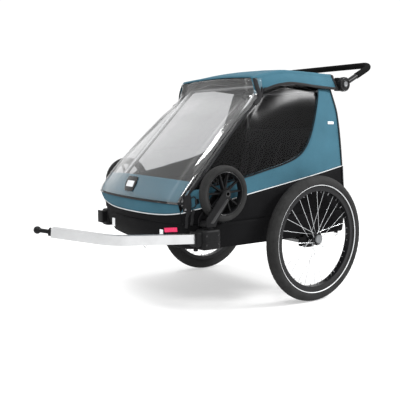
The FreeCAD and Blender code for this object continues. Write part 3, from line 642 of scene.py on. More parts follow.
def pucker(y, z, size=1.0):
    """How far loosely stretched cloth stands off its true surface."""
    slow = noise.noise(at(y * 6, z * 6, 1.3))
    quick = noise.noise(at(y * 19, z * 15, 7.1))
    return size * (0.0022 * slow + 0.0008 * quick)


def front_point(x, z, lift):
    return at(x, front_y(x, z) - lift, z)


def side_point(k, y, z, lift=0.0, size=1.0):
    return at(k * (side_x(y, z) + lift + pucker(y, z, size)), y, z)


def outward(point):
    return at(point.x, point.y - 0.15, point.z - 0.5)


def surface(place, across, up, reach=1):
    """Rows of place(u, t), with u from side to side and t from bottom to top."""
    return [[place(u, t) for u in steps(-reach, reach, across)] for t in steps(0, 1, up)]


def flat_line(line, count):
    return even([(0, y, z) for y, z in line], count)


def strip(k, low, high, count, across, lift=lambda y, z: 0.0, size=1.0):
    """Rows of side cloth between two (y, z) lines, resampled to match each other."""
    low, high = flat_line(low, count), flat_line(high, count)
    rows = []
    for t in steps(0, 1, across):
        mix = [a.lerp(b, t) for a, b in zip(low, high)]
        rows.append([side_point(k, p.y, p.z, lift(p.y, p.z), size) for p in mix])
    return rows


def front_line(low, high, inset=0.0):
    """Up the front corner of the side, from height low to height high."""
    return [(CORNER_Y(z) + inset, z) for z in steps(low, high, 24)]


def rear_line(low, high, count=24, inset=0.0):
    """Up the rear corner of the side."""
    return [(REAR_Y(z) - 0.001 - inset, z) for z in steps(low, high, count)]


# ------------------------------------------------------------ fabric of the cabin

def loop(z, inset=0.0):
    """Once round the cabin at a height, from the front right corner towards the left."""
    cx, rx = CORNER_X(z), REAR_X(z)
    corner, shoulder, rear = CORNER_Y(z), SHOULDER_Y(z), REAR_Y(z)
    flank = steps(corner, shoulder, 8)[1:] + steps(shoulder, rear, 30)[1:]
    left = [(side_x(y, z), y) for y in flank]
    points = [(x, front_y(x, z)) for x in steps(-cx, cx, 24)] + left
    points += [(x, rear_y(x, z)) for x in steps(rx, -rx, 20)[1:-1]]
    points += [(-x, y) for x, y in reversed(left)]
    result = []
    for i, (x, y) in enumerate(points):
        ax, ay = points[i - 1]
        bx, by = points[(i + 1) % len(points)]
        normal = at(by - ay, ax - bx, 0).normalized()
        result.append(at(x, y, z) - normal * inset)
    return result


def front_piping_z(u):
    """Height of the blue band's lower edge across the front, from corner to corner."""
    return FRONT_PIPING + 0.016 * abs(u) ** 4


def make_tub():
    """The fixed lower body: black cloth round the frame, turned in under the floor."""
    heights = [(0.2508, 0.010), (0.2515, 0.006), (0.2545, 0.002), (0.260, 0.0003)]
    heights += [(0.268 + 0.011 * i, 0.0) for i in range(8)]
    rows = [[p + outward(p).normalized() * pucker(p.y + p.x, p.z, 0.8) for p in loop(min(z, TUB_TOP), inset)]
            for z, inset in heights]
    sheet("tub_fabric", rows, "black", outward, "tub_shell", "base",
          THICK_CLOTH, closed=True)

    for name, low, high, material in (("tub_front", lambda u: TUB_TOP, front_piping_z, "black"),
                                      ("front_band", front_piping_z, lambda u: SEAM, "blue")):
        def place(u, t):
            z = low(u) + (high(u) - low(u)) * t
            x = CORNER_X(z) * u
            return front_point(x, z, pucker(x, z, 0.8))

        sheet(name, surface(place, 48, 6), material, (0, -1, 0), None, "base",
              THICK_CLOTH)

    height, middle = 0.2535, 0.16
    rows = [[at(p.x * s, middle + (p.y - middle) * s,
                height - 0.0012 * (1 - s) - pucker(p.x * s, p.y * s)) for p in loop(height, 0.009)]
            for s in (1.0, 0.97, 0.9, 0.78, 0.62, 0.45, 0.28, 0.12, 0.02)]
    sheet("floor_fabric", rows, "black", (0, 0, -1), "floor_panel", "base",
          THICK_CLOTH, closed=True)


def film_bow(y, z):
    """The side film lies behind the cloth and is drawn in just below its top arc."""
    down = max(0.0, WINDOW_ARC(max(y, 0.10)) - z)
    near = max(0.0, 1 - down / 0.095)
    return -0.0022 - 0.012 * near ** 2 * min(1.0, down / 0.008)


def make_side(k, tag):
    window_low = window_rear + [(CORNER_Y(0.468), 0.468)]
    rear_edge = rear_line(0.528, 0.846)[::-1]
    inner = front_line(0.470, 0.812, PILLAR) + window_top
    outer = front_line(0.468, 0.815) + [(ROOF_FRONT, VALANCE_Z(ROOF_FRONT) + 0.012), (0.16, 0.846),
                                        (0.21, 0.861), (0.275, 0.869), (0.42, 0.860), (0.455, 0.858)]
    bottom = [(0.5575, TUB_TOP + 0.0005), (-0.2505, TUB_TOP + 0.0005)]
    sheet("side_blue" + tag, strip(k, window_low, rear_edge + piping_line, 120, 12), "blue", outward,
          "side_panel" + tag)
    sheet("side_skirt" + tag, strip(k, piping_line, bottom, 90, 8), "black", outward)
    sheet("side_border" + tag, strip(k, inner, outer, 100, 4, size=0.6), "black", outward)
    sheet("side_film" + tag, strip(k, window_rear[::-1], inner, 120, 30, film_bow, 0.3), "smoked", outward,
          "side_window" + tag, thickness=0.0006, lined=False)

    edge = window_rear[2:-1]
    route = [side_point(k, y, z, 0.0012) for y, z in edge]
    hem = [side_point(k, p.y, p.z, 0.0016) for p in flat_line(edge, 110)]
    line = [side_point(k, p.y, p.z, 0.0012) for p in flat_line(piping_line, 110)]
    above = [p + at(k * 0.0006, 0, 0.006) for p in line]
    back = [side_point(k, y, z, 0.001) for y, z in rear_line(0.348, 0.850, 60, 0.003)]
    seam = [side_point(k, y, z, 0.0012) for y, z in rear_line(0.54, 0.835, 60, 0.0165)]
    up = [side_point(k, CORNER_Y(z) + 0.004, z, 0.0012) for z in steps(0.425, 0.815, 60)]
    rows = [stitches(above, (k, 0, 0.1)), stitches(hem, (k, 0, 0.1), k * 0.0055),
            stitches(seam, (k, 0.3, 0.1))]
    for trim in (tube("window_hem" + tag, even(route, 110), 0.0016, "binding", flat=0.7),
                 tube("piping" + tag, line, 0.0019, "piping"),
                 ribbon("rear_binding" + tag, back, (k, 0.6, 0.05), 0.013, 0.0022, "binding"),
                 tube("pillar_binding" + tag, up, 0.0045, "binding", 10, flat=0.5),
                 join("side_stitching" + tag, rows)):
        hold(trim)


def make_rear():
    rows = [[at(x, rear_y(x, z) + pucker(x, z), z) for x in steps(-REAR_X(z), REAR_X(z), 48)]
            for z in steps(TUB_TOP + 0.001, 0.873, 40)]
    sheet("rear_fabric", rows, "black", (0, 1, 0), "rear_panel")

    def pocket(u, t):
        z = 0.372 + 0.20 * t
        x = (0.236 - 0.012 * t) * u
        sag = 0.006 + 0.010 * math.sin(math.pi * (1 - t) ** 0.8)
        return at(x, rear_y(x, z) + 0.0012 + sag * (1 - abs(u) ** 6) + pucker(x, z, 1.4), z)

    sheet("rear_pocket", surface(pocket, 40, 18), "black", (0, 1, 0))
    half, top = 0.224, 0.572
    hem = [at(x, rear_y(x, top) + 0.0085 * (1 - abs(x / half) ** 6) + 0.001, top)
           for x in steps(-half, half, 40)]
    hold(ribbon("pocket_hem", hem, (0, 1, 0), 0.012, 0.002, "binding"))


FILM_REACH = 1.08


def film_point(u, z, lift):
    """A place on the windshield: u runs from -1 at one corner to 1 at the other, and past them."""
    wrap = 0.020
    if abs(u) <= 1:
        return front_point((CORNER_X(z) - 0.001) * u, z, lift)
    y = CORNER_Y(z) + wrap * (abs(u) - 1) / 0.08
    return at(math.copysign(side_x(y, z) + lift, u), y, z)


def film_folds(u, z):
    """Folds of the clear film beside the pillars, where its edges are pulled down."""
    near = min(1.0, max(0.0, (abs(u) - 0.66) / 0.18)) * min(1.0, max(0.0, (1.07 - abs(u)) / 0.05))
    drift = 2.2 * noise.noise(at(u * 1.5, z * 5, 9.0)) + 3.0 * (z - SEAM)
    wave = 0.5 + 0.5 * math.sin(abs(u) * 30 + drift * 2.4)
    patch = 0.55 + 0.6 * noise.noise(at(abs(u) * 3, z * 8, 5.5 + math.copysign(2, u)))
    roll = math.cos(math.pi / 2 * max(-1.0, min(1.0, (abs(u) - 0.925) / 0.125))) ** 2
    roll *= 0.75 + 0.5 * noise.noise(at(z * 11, 2.7, math.copysign(3, u)))
    gather = min(1.0, max(0.0, (z - 0.74) / 0.08)) * near
    crease_wave = gather * math.sin(z * 190 + abs(u) * 26 + drift)
    return 0.0040 * near * wave * max(0.15, patch) + 0.0085 * roll + 0.0016 * (1 + crease_wave) * gather


def make_windshield():
    def sheet_place(u, t):
        top = ROOF_EDGE(ROOF_FRONT) - 0.006 + CROWN * (1 - min(1.0, u * u))
        z = SEAM + 0.001 + (top - SEAM) * t
        dip = 0.0025 * noise.noise(at(u * 2.2, z * 7, 3.0))
        return film_point(u, z, 0.0036 + dip + film_folds(u, z))

    def panel_place(u, t):
        z = SEAM + 0.001 + (KNEE - SEAM) * t
        x = (CORNER_X(z) - 0.002) * u
        rise = 0.012 * (1 - u * u) * t
        return front_point(x, z + rise, -pucker(x, z, 0.5))

    sheet("windshield_film", surface(sheet_place, 180, 72, FILM_REACH), "clear", (0, -1, 0.6),
          "windshield", thickness=0.0005, lined=False)
    sheet("front_blue", surface(panel_place, 48, 14), "blue", (0, -1, 0.3),
          "front_panel")

    seam = [film_point(u, SEAM + 0.003, 0.0045) for u in steps(-FILM_REACH, FILM_REACH, 60)]
    guides = [at(p.x * 0.6, -1, -0.2) for p in seam]
    hold(ribbon("windshield_seam", seam, guides, 0.009, 0.0026, "binding"))
    line = [film_point(u, front_piping_z(u), 0.0012) for u in steps(-1, 1, 60)]
    hold(tube("front_piping", line, 0.0019, "piping"), "base")
    for k, tag in SIDES:
        side = [film_point(k * 1.07, z, 0.0046) for z in steps(SEAM, SEAM + 0.42, 50)]
        hold(ribbon("windshield_edge" + tag, side, (k, -0.8, 0.2), 0.008, 0.0018, "binding"))


STITCH_PITCH = 6.2 * MM
THREAD_RADIUS = 0.42 * MM


def stitches(route, normals, shift=0.0, material="thread"):
    """A row of stitches along route, shifted sideways by shift and lying on the cloth."""
    length = sum((b - a).length for a, b in zip(route, route[1:]))
    count = max(2, int(length / STITCH_PITCH))
    line = even(route, 2 * count)
    guides = resample(each(normals, len(route)), 2 * count)
    points = []
    faces = []
    for i in range(0, 2 * count - 1, 2):
        a, b = line[i], line[i + 1]
        ahead = (b - a).normalized()
        normal = square(guides[i], ahead)
        side = ahead.cross(normal)
        first = len(points)
        for t, size in ((0.0, 0.25), (0.25, 1.0), (0.75, 1.0), (1.0, 0.25)):
            middle = a.lerp(b, t) + side * shift
            for x, y in ((1, 0), (0, 1), (-1, 0), (0, -1)):
                thick = THREAD_RADIUS * size
                points.append(middle + side * (thick * x) + normal * (thick * y))
        for low in (first, first + 4, first + 8):
            for n in range(4):
                m = (n + 1) % 4
                faces.append((low + n, low + m, low + 4 + m, low + 4 + n))
        faces.append((first + 3, first + 2, first + 1, first))
        faces.append((first + 12, first + 13, first + 14, first + 15))
    return face_out(add_object("row", points, faces, material))


# ------------------------------------------------------------ roof

EDGE_ROUNDING = 12 * MM


def roof_row(y):
    """Across the roof from one valance hem to the other."""
    z, x = ROOF_EDGE(y), ROOF_X(y)
    low_z, low_x = VALANCE_Z(y), VALANCE_X(y)
    turn_x, turn_z = x - EDGE_ROUNDING, z - EDGE_ROUNDING
    half = [(low_x + (x - low_x) * t + 0.003 * math.sin(math.pi * t), low_z + (turn_z - low_z) * t)
            for t in steps(0, 1, 8)]
    half += [(turn_x + EDGE_ROUNDING * math.cos(a), turn_z + EDGE_ROUNDING * math.sin(a))
             for a in steps(0, math.pi / 2, 6)[1:-1]]
    half += [(turn_x * u, z + CROWN * (1 - u * u)) for u in steps(1, 0, 12)]
    return [at(px, y, pz) for px, pz in half + [(-px, pz) for px, pz in half[-2::-1]]]


def roof_lift(point):
    """Loose cloth over the roof's frame, tighter along its middle."""
    gather = max(0.0, (point.y - 0.44) / 0.09) * max(0.0, (abs(point.x) - 0.2) / 0.08)
    folds = 0.0012 * gather * math.sin(point.y * 520 + point.z * 160)
    return pucker(point.y + point.x * 0.6, point.z + point.x * 0.4, 1.3) + folds


def make_roof():
    rows = [[p + outward(p).normalized() * roof_lift(p) for p in roof_row(y)]
            for y in steps(ROOF_FRONT, ROOF_REAR, 60)]
    rear = rows[-1]
    for drop in (0.004, 0.012, 0.024, 0.036):
        y = ROOF_REAR + 0.006 * math.sin(min(1.0, drop / 0.012) * math.pi / 2) - drop * 0.18
        rows.append([at(p.x, y, max(p.z - drop, VALANCE_Z(ROOF_REAR) - 0.004)) for p in rear])
    sheet("roof_fabric", rows, "blue", outward, "roof_cover", "canopy_frame", THICK_CLOTH)

    front = [p + at(0, -0.001, 0.0006) for p in roof_row(ROOF_FRONT + 0.003)]
    normals = [(outward(p) + at(0, -0.4, 0)).normalized() for p in front]
    lifted = [p + n * 0.0028 for p, n in zip(front, normals)]
    pieces = [ribbon("roof_front_hem", even(lifted, 120), resample(normals, 120), 0.010, 0.002, "blue")]
    for k, tag in SIDES:
        hem = [at(k * (VALANCE_X(y) + 0.002), y, VALANCE_Z(y) + 0.002)
               for y in steps(ROOF_FRONT + 0.002, ROOF_REAR + 0.002, 70)]
        guide = (k, 0, 0.2)
        above = [p + at(k * 0.0013, 0, 0.0085) for p in hem[2:-2]]
        lower = [p + at(k * 0.0015, 0, 0) for p in hem[2:-2]]
        rows = [stitches(above, guide), stitches(lower, guide, 0.0035, "dark_thread")]
        wrap = [at(k * abs(p.x + 0.0022), ROOF_REAR - 0.006, p.z) for p in roof_row(ROOF_REAR)[:16]]
        pieces += [ribbon("valance_hem" + tag, hem, guide, 0.011, 0.0026, "binding"),
                   join("valance_stitching" + tag, rows),
                   ribbon("roof_rear_binding" + tag, even(wrap, 40), (k, 0.1, 0.3), 0.013, 0.0022, "binding")]
    for piece in pieces:
        hold(piece, "canopy_frame")


# ------------------------------------------------------------ seat and harness

SEAT_FOOT = at(0, 0.396, 0.331)
SEAT_HEAD = at(0, 0.452, 0.690)
PAD_SWELL = 1.6
SWELL_LIMIT = 14 * MM


def cushion(name, low, high, seams, place):
    """A sewn pad: an inflated shell between its seams, flat where it rests."""
    width, length, depth = high - low
    across, along = 28, 30
    pad = grid(name, [[at(low.x + width * u, low.y + length * v, high.z) for u in steps(0, 1, across)]
                      for v in steps(0, 1, along)], "seat")

    def deepen(mesh):
        skin = bmesh.ops.extrude_face_region(mesh, geom=list(mesh.faces))
        fresh = [g for g in skin["geom"] if isinstance(g, bmesh.types.BMVert)]
        bmesh.ops.translate(mesh, verts=fresh, vec=at(0, 0, -depth))
        bmesh.ops.recalc_face_normals(mesh, faces=mesh.faces)

    edit(pad, deepen)
    pins = pad.vertex_groups.new(name="seams")
    middle = high.z - depth * 0.5
    for vertex in pad.data.vertices:
        u = (vertex.co.x - low.x) / width
        v = (vertex.co.y - low.y) / length
        rim = min(u, 1 - u, v, 1 - v) < 0.02
        channel = any(abs(v - c) < 0.5 / along for c in seams)
        if rim or channel or vertex.co.z < middle:
            pins.add([vertex.index], 1.0, "REPLACE")
    puff(pad, "seams")
    for vertex in pad.data.vertices:
        v = (vertex.co.y - low.y) / length
        groove = min([abs(v - c) for c in seams] + [1.0]) * length
        if vertex.co.z > middle:
            vertex.co.z -= 0.006 * math.exp(-(groove / 0.006) ** 2)
    reshape(pad, "SUBSURF", levels=1, render_levels=1)
    pad.data.transform(place)
    crease(pad, 75)
    return pad


def puff(obj, pinned):
    """Blows a sewn shell up with the cloth solver and keeps the result."""
    solver = obj.modifiers.new("Cloth", "CLOTH")
    values = {"quality": 6, "mass": 0.25, "use_pressure": True, "uniform_pressure_force": PAD_SWELL,
              "vertex_group_mass": pinned, "tension_stiffness": 12, "compression_stiffness": 12,
              "bending_stiffness": 0.4}
    for key, value in values.items():
        setattr(solver.settings, key, value)
    solver.settings.effector_weights.gravity = 0
    solver.collision_settings.use_self_collision = False
    scene = bpy.context.scene
    for number in range(1, 19):
        scene.frame_set(number)
    rest = [v.co.copy() for v in obj.data.vertices]
    settle(obj)
    for vertex, start in zip(obj.data.vertices, rest):
        move = vertex.co - start
        if move.length > SWELL_LIMIT:
            vertex.co = start + move.normalized() * SWELL_LIMIT
    scene.frame_set(1)


def make_seat():
    low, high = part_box("seat_base")
    base = cushion("seat_cushion", at(low.x + 0.004, low.y + 0.004, low.z),
                   at(high.x - 0.004, high.y - 0.004, high.z - 0.006), (0.36, 0.68), Matrix.Identity(4))
    hold(base, "base", "seat_base")

    low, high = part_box("seat_back")
    rise = SEAT_HEAD - SEAT_FOOT
    stand = Matrix.Translation(SEAT_FOOT) @ Matrix.Rotation(math.pi / 2 - math.atan2(rise.y, rise.z), 4, "X")
    back = cushion("seat_back_pad", at(low.x + 0.004, 0.004, -0.028),
                   at(high.x - 0.004, rise.length - 0.004, -0.004), (0.3, 0.62), stand)
    hold(back, None, "seat_back")


def make_harness():
    up = (SEAT_HEAD - SEAT_FOOT).normalized()
    out = at(0, -up.z, up.y)
    forward = at(0, -0.3, 1)
    pads = []
    straps = []
    for seat in (0.111, -0.111):
        for k in (-1, 1):
            x = seat + k * 0.055
            shoulder = SEAT_FOOT + up * 0.29 + at(x, 0, 0)
            route = [shoulder + out * 0.004, shoulder + out * 0.016 - up * 0.02,
                     (x * 0.6 + seat * 0.4, 0.375, 0.47), (x * 0.3 + seat * 0.7, 0.325, 0.385),
                     (seat, 0.30, 0.352)]
            route = even(soften(route, 3), 40)
            normals = [out.lerp(forward, t) for t in steps(0, 1, 39)]
            straps.append(ribbon("strap", route, normals, 0.024, 0.0018, "webbing"))
            pads.append(padded_sleeve(route[4:22], normals[4:22]))
        lap = [(seat - 0.085, 0.372, 0.341), (seat - 0.05, 0.325, 0.357), (seat, 0.302, 0.350),
               (seat + 0.05, 0.325, 0.357), (seat + 0.085, 0.372, 0.341)]
        straps.append(ribbon("lap", even(soften(lap, 3), 36), forward[:], 0.024, 0.0018, "webbing"))
        pads += [block("buckle", (seat - 0.022, 0.276, 0.346), (seat + 0.022, 0.322, 0.362), 0.005, "gloss"),
                 block("button", (seat - 0.009, 0.288, 0.360), (seat + 0.009, 0.306, 0.3645), 0.002, "grey")]
    hold(join("harness_webbing", straps), None, "harness_straps")
    cushions = join("harness_pads", pads)
    hold(cushions, None, "harness_buckles")


def padded_sleeve(route, normals):
    """A soft shoulder pad round a strap."""
    rows = []
    last = len(route) - 1
    for i, (point, normal) in enumerate(zip(route, normals)):
        ahead = heading(route, i)
        normal = square(normal, ahead)
        side = ahead.cross(normal)
        end = 1 - abs(2 * i / last - 1) ** 8 * 0.55
        rows.append([point + side * (0.021 * end * c) + normal * (0.0065 * end * s) for c, s in around(16)])
    return close_ends(grid("sleeve", rows, "pad", round_u=True), 60)


# ------------------------------------------------------------ wheels

def centre_of(node):
    low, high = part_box(node)
    return (low + high) / 2


def rings(name, places, count):
    """Several thin rings round X, given as (centre, radius, thickness)."""
    return join(name, [tube("ring", ring(centre, r, count), size, "gloss", closed=True)
                       for centre, r, size in places])


def tyre_mesh(name, centre, k, outline, count, cut, material):
    """A turned tyre with grooves of depth cut(step round, radius)."""
    rows = [[centre + at(k * u, (r - cut(i, r)) * c, (r - cut(i, r)) * s) for u, r in outline]
            for i, (c, s) in enumerate(around(count))]
    return crease(face_out(grid(name, rows, material, round_u=True, round_v=True)), 35)


# Half outlines of the tyres, as (across, radius) from the bead to the middle of the crown.
MAIN_TYRE = [(12.6, 204.5), (13.6, 208), (17.5, 211), (20.6, 215), (22.6, 220), (23.4, 226), (23.2, 231),
             (21.8, 236.5), (19.6, 240.6), (18.9, 240.4), (15.8, 244.4), (13.4, 246.4), (12.6, 245.6),
             (11.4, 246.4), (8.2, 248.6), (6.6, 249.2), (6.0, 248.0), (5.0, 248.2), (4.4, 249.7), (0.0, 250)]
CASTER_TYRE = [(12, 78.3), (15.2, 80.5), (16.6, 84), (17.6, 88), (17.4, 92), (16.2, 95.4), (13.6, 97.8),
               (12.4, 97.4), (11.2, 98.3), (7.4, 99.6), (6.6, 98.8), (5.8, 99.7), (0, 100)]
STRIPE = [(18.4, 211.6), (19.5, 212.8), (20.4, 214.1), (20.0, 214.6), (19.1, 213.3), (18.1, 212.2)]
SPOKES = 24
main_outline = both_halves(MAIN_TYRE) + [(-0.011, 0.2062), (0.011, 0.2062)]
caster_outline = both_halves(CASTER_TYRE)


def main_tread(i, radius):
    """Depth of the grooves between tread blocks, at a step round the tyre."""
    if radius > 0.2435:
        return 0.0009 if i % 6 == 0 else 0.0
    return 0.0011 if radius > 0.236 and i % 6 in (2, 3) else 0.0


def caster_tread(i, radius):
    return 0.0009 if radius > 0.0972 and i % 5 == 0 else 0.0


def make_main_wheel(k, tag):
    wheel = "main_wheel" + tag
    centre = centre_of("tyre" + tag)
    tyre = tyre_mesh("main_tyre" + tag, centre, k, main_outline, 360, main_tread, "tyre")
    hold(tyre, wheel, "tyre" + tag)
    hold(lathe("tyre_stripe" + tag, [(k * u, r) for u, r in STRIPE], centre, "stripe", 180), wheel)
    caps = []
    for i, (c, s) in enumerate(around(SPOKES, 0.5)):
        lean = X_AXIS * (0.004 if i % 2 else -0.004)
        way = at(0, c, s)
        caps.append(tube("nipple", [centre + way * 0.1905 + lean * 0.3, centre + way * 0.181 + lean],
                         [0.0022, 0.0016], "dull_steel"))
    hold(join("spoke_nipples" + tag, caps), wheel)
    hub = centre_of("hub" + tag)
    hub.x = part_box("hub" + tag)[k > 0].x
    hold(rings("hub_rings" + tag, [(hub + X_AXIS * k * 0.0006, 0.0245, 0.0016),
                                   (hub + X_AXIS * k * 0.0012, 0.0195, 0.0010)], 64), wheel)


def caster_core(name, centre):
    """A moulded wheel: hub, rim and five pairs of spokes that part towards the rim."""
    rim = [(-12, 77.8), (-12, 75.0), (-10, 73.6), (-3, 72.4), (3, 72.4), (10, 73.6), (12, 75.0), (12, 77.8)]
    hub = [(-15, 5.8), (-15, 13), (-13.6, 14.6), (-6, 16), (6, 16), (13.6, 14.6), (15, 13), (15, 5.8)]
    pieces = [lathe("rim", rim, centre, "plastic", 96), lathe("hub", hub, centre, "plastic", 48)]
    section = [(1, 0.8), (0.8, 1), (-0.8, 1), (-1, 0.8), (-1, -0.8), (-0.8, -1), (0.8, -1), (1, -0.8)]
    for degrees, side in ((72 * i + 20, side) for i in range(5) for side in (-1, 1)):
        root = math.radians(degrees + side * 10)
        tip = math.radians(degrees + side * 15)
        start = at(0, math.cos(root), math.sin(root)) * 0.0125
        end = at(0, math.cos(tip), math.sin(tip)) * 0.0738
        across = X_AXIS.cross(end - start).normalized()
        rows = []
        for t in (0.0, 0.15, 0.5, 0.85, 1.0):
            middle = centre + start.lerp(end, t)
            flare = 0.0008 * (abs(2 * t - 1) ** 3)
            width, depth = 0.0036 - 0.0007 * t + flare, 0.0088 - 0.0030 * t + flare
            rows.append([middle + across * (width * x) + X_AXIS * (depth * y) for x, y in section])
        pieces.append(close_ends(grid("spoke", rows, "plastic", round_u=True), 40))
    return join(name, pieces)


def make_caster_wheel(k, tag):
    wheel = "caster_wheel" + tag
    centre = centre_of("caster_tyre" + tag)
    tyre = tyre_mesh("caster_rubber" + tag, centre, k, caster_outline, 180, caster_tread, "caster_tyre")
    hold(tyre, wheel, "caster_tyre" + tag)
    lips = [(centre + X_AXIS * u, 0.0765, 0.0016) for u in (-0.0125, 0.0125)]
    hold(rings("caster_lips" + tag, lips, 96), wheel)
    hold(caster_core("caster_spider" + tag, centre), wheel, "caster_core" + tag)


# ------------------------------------------------------------ moulded parts

def rounded(corners, radii, count):
    """A closed (y, z) outline with its corners rounded; radii may be one value or a list."""
    result = []
    if not isinstance(radii, list):
        radii = [radii] * len(corners)
    corners = [Vector(corner) for corner in corners]
    for i, (here, r) in enumerate(zip(corners, radii)):
        before = corners[i - 1] - here
        after = corners[(i + 1) % len(corners)] - here
        reach = min(r, before.length * 0.45, after.length * 0.45)
        a, b = here + before.normalized() * reach, here + after.normalized() * reach
        result += [(a * (1 - t) ** 2 + here * (2 * t * (1 - t)) + b * t * t)[:] for t in steps(0, 1, count)]
    return result


def tower(name, centre, levels, material, power=5.0):
    """A moulded post: superellipse rings given as (height, half x, half y, shift y)."""
    shape = []
    for c, s in around(48):
        reach = (abs(c) ** power + abs(s) ** power) ** (-1 / power)
        shape.append((reach * c, reach * s))
    rows = [[at(centre.x + hx * x, centre.y + dy + hy * y, z) for x, y in shape]
            for z, hx, hy, dy in levels]
    return close_ends(grid(name, rows, material, round_u=True), 45)


def make_socket(k, tag):
    node = "corner_socket" + tag
    low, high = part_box(node)
    stem = centre_of("caster_stem" + tag)
    outer = (low, high)[k > 0].x
    inner = outer - k * 0.056
    levels = [(low.z + z, cut) for z, cut in ((0.0015, 0.004), (0.004, 0.001), (0.010, 0), (0.030, 0),
                                              (0.031, 0.001), (0.0335, 0.001), (0.0345, 0))]
    levels += [(high.z - z, cut) for z, cut in ((0.010, 0), (0.003, 0.002), (0.0003, 0.006))]
    post = tower("socket_post", at((outer + inner) / 2, stem.y, 0),
                 [(z, 0.028 - cut, 0.040 - cut, 0) for z, cut in levels], "plastic")
    nose_low, nose_high = at(stem.x - 0.020, low.y, 0.280), at(stem.x + 0.020, stem.y - 0.030, 0.328)
    collar_high = at(nose_high.x + 0.0022, nose_low.y + 0.008, nose_high.z + 0.0022)
    inside = inner - k * 0.0175
    pieces = [post, block("socket_nose", nose_low, nose_high, 0.004, "plastic", 4),
              block("nose_collar", nose_low + at(-0.0022, 0.0008, -0.0022), collar_high, 0.002, "plastic"),
              block("socket_boss", (min(inner, inside), stem.y - 0.014, low.z + 0.004),
                    (max(inner, inside), stem.y + 0.022, low.z + 0.034), 0.002, "plastic")]
    screw = [(-1, 0.2), (-1, 4), (k * 0.9, 3.8), (k * 1.2, 2.2), (-k * 0.2, 2), (-k * 0.2, 0.2)]
    for y, z in ((-0.026, 0.020), (-0.026, 0.052), (0.026, 0.020), (0.026, 0.052)):
        pieces.append(lathe("screw", screw, at(outer - k * 0.0004, stem.y + y, low.z + z), "gloss", 20))
    hold(join("socket_housing" + tag, pieces), "base", node)


def make_fork(_, tag):
    node = "caster_fork" + tag
    low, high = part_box(node)
    hub = centre_of("caster_core" + tag)
    stem = centre_of("caster_stem" + tag)
    half = (high.x - low.x) / 2
    levels = [(low.z + z, half - cut, depth, shift) for z, cut, depth, shift in (
        (0.0002, 0.006, 0.016, 0), (0.002, 0.002, 0.019, 0), (0.006, 0.0008, 0.0205, 0),
        (0.014, 0.0006, 0.0205, 0.001), (0.020, 0.002, 0.019, 0.002), (0.0225, 0.006, 0.016, 0.003))]
    foot, axle = (stem.y, low.z), (hub.y, hub.z)
    corners = [(foot, -20, 1), (foot, 20, 1), (foot, 26, 20), (axle, 15, -12),
               (axle, 15, 14), (axle, -13, 15), (foot, -23, 28),
               (foot, -6, 16), (foot, 10, 14), (axle, 5, -20), (axle, -8, -18)]
    corners = [(y + dy * MM, z + dz * MM) for (y, z), dy, dz in corners]
    outline = rounded(corners[:7], [0.006, 0.006, 0.02, 0.016, 0.014, 0.014, 0.03], 6)
    rib = rounded(corners[7:], 0.005, 4)
    pieces = [tower("crown", at((low.x + high.x) / 2, stem.y, 0), levels, "plastic", 4.0)]
    for x, k in ((high.x, 1), (low.x, -1)):
        cap = [(-2, 0.3), (-2, 11), (k * 0.6, 10.5), (k * 1.2, 9), (k * 1.2, 6), (0, 5.5), (0, 0.3)]
        pieces += [plate("cheek", outline, x, x - k * 0.0053, 0.0022, "plastic", 3),
                   plate("rib", rib, x - k * 0.001, x + k * 0.0006, 0.0007, "gloss", 2),
                   lathe("cap", cap, at(x, hub.y, hub.z), "gloss", 36)]
    ends = [at(x, hub.y, hub.z) for x in (low.x + 0.004, high.x - 0.004)]
    pieces.append(tube("axle", ends, 0.0052, "steel", 16))
    hold(join("fork" + tag, pieces), node, node)


DIAL = [(-4.5, 0.4), (-4.5, 10.8), (-1.2, 11), (-0.3, 10), (0, 8.8), (-0.9, 7.5), (-0.9, 0.4)]


def make_knob(k, tag):
    """Ridged collar, rings and dial round the push bar's hinge."""
    node = "handle_button" + tag
    face = centre_of(node)
    centre = at(0, face.y, face.z)
    face.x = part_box(node)[k > 0].x
    teeth = [tube("tooth", [centre + way + X_AXIS * k * x for x in (0.2805, 0.2965)], 0.0017, "plastic")
             for way in ring(Vector(), 0.0282, 20)]
    marks = rings("marks", [(centre + X_AXIS * k * 0.2983, r, size)
                            for r, size in ((0.0255, 0.0012), (0.0140, 0.0010))], 72)
    hold(join("knob_detail" + tag, teeth + [marks]), "handlebar")
    cap = lathe("cap", [(k * u, r) for u, r in DIAL], face, "grey", 48)
    stem = tube("dial_stem", [face - X_AXIS * k * x for x in (0.0085, 0.003)], 0.0058, "grey", 20)
    hold(join("dial" + tag, [cap, stem]), node, node)


def lens(low, high, way, material):
    """A reflector: a rimmed plate of small pyramids."""
    rows = []
    front = high.y if way > 0 else low.y
    for j, v in enumerate(steps(0, 1, 22)):
        row = []
        for i, u in enumerate(steps(0, 1, 22)):
            rim = min(u, 1 - u, v, 1 - v)
            depth = 0.0007 + 0.0006 * ((i + j) % 2)
            if rim < 0.08:
                depth = 0.0 if rim < 0.02 else 0.0014
            row.append(at(low.x + (high.x - low.x) * u, front - way * (0.0016 - depth),
                          low.z + (high.z - low.z) * v))
        rows.append(row)
    face = turn_out(grid("lens", rows, material), (0, way, 0))
    return crease(reshape(face, "SOLIDIFY", thickness=0.002, offset=-1), 25)


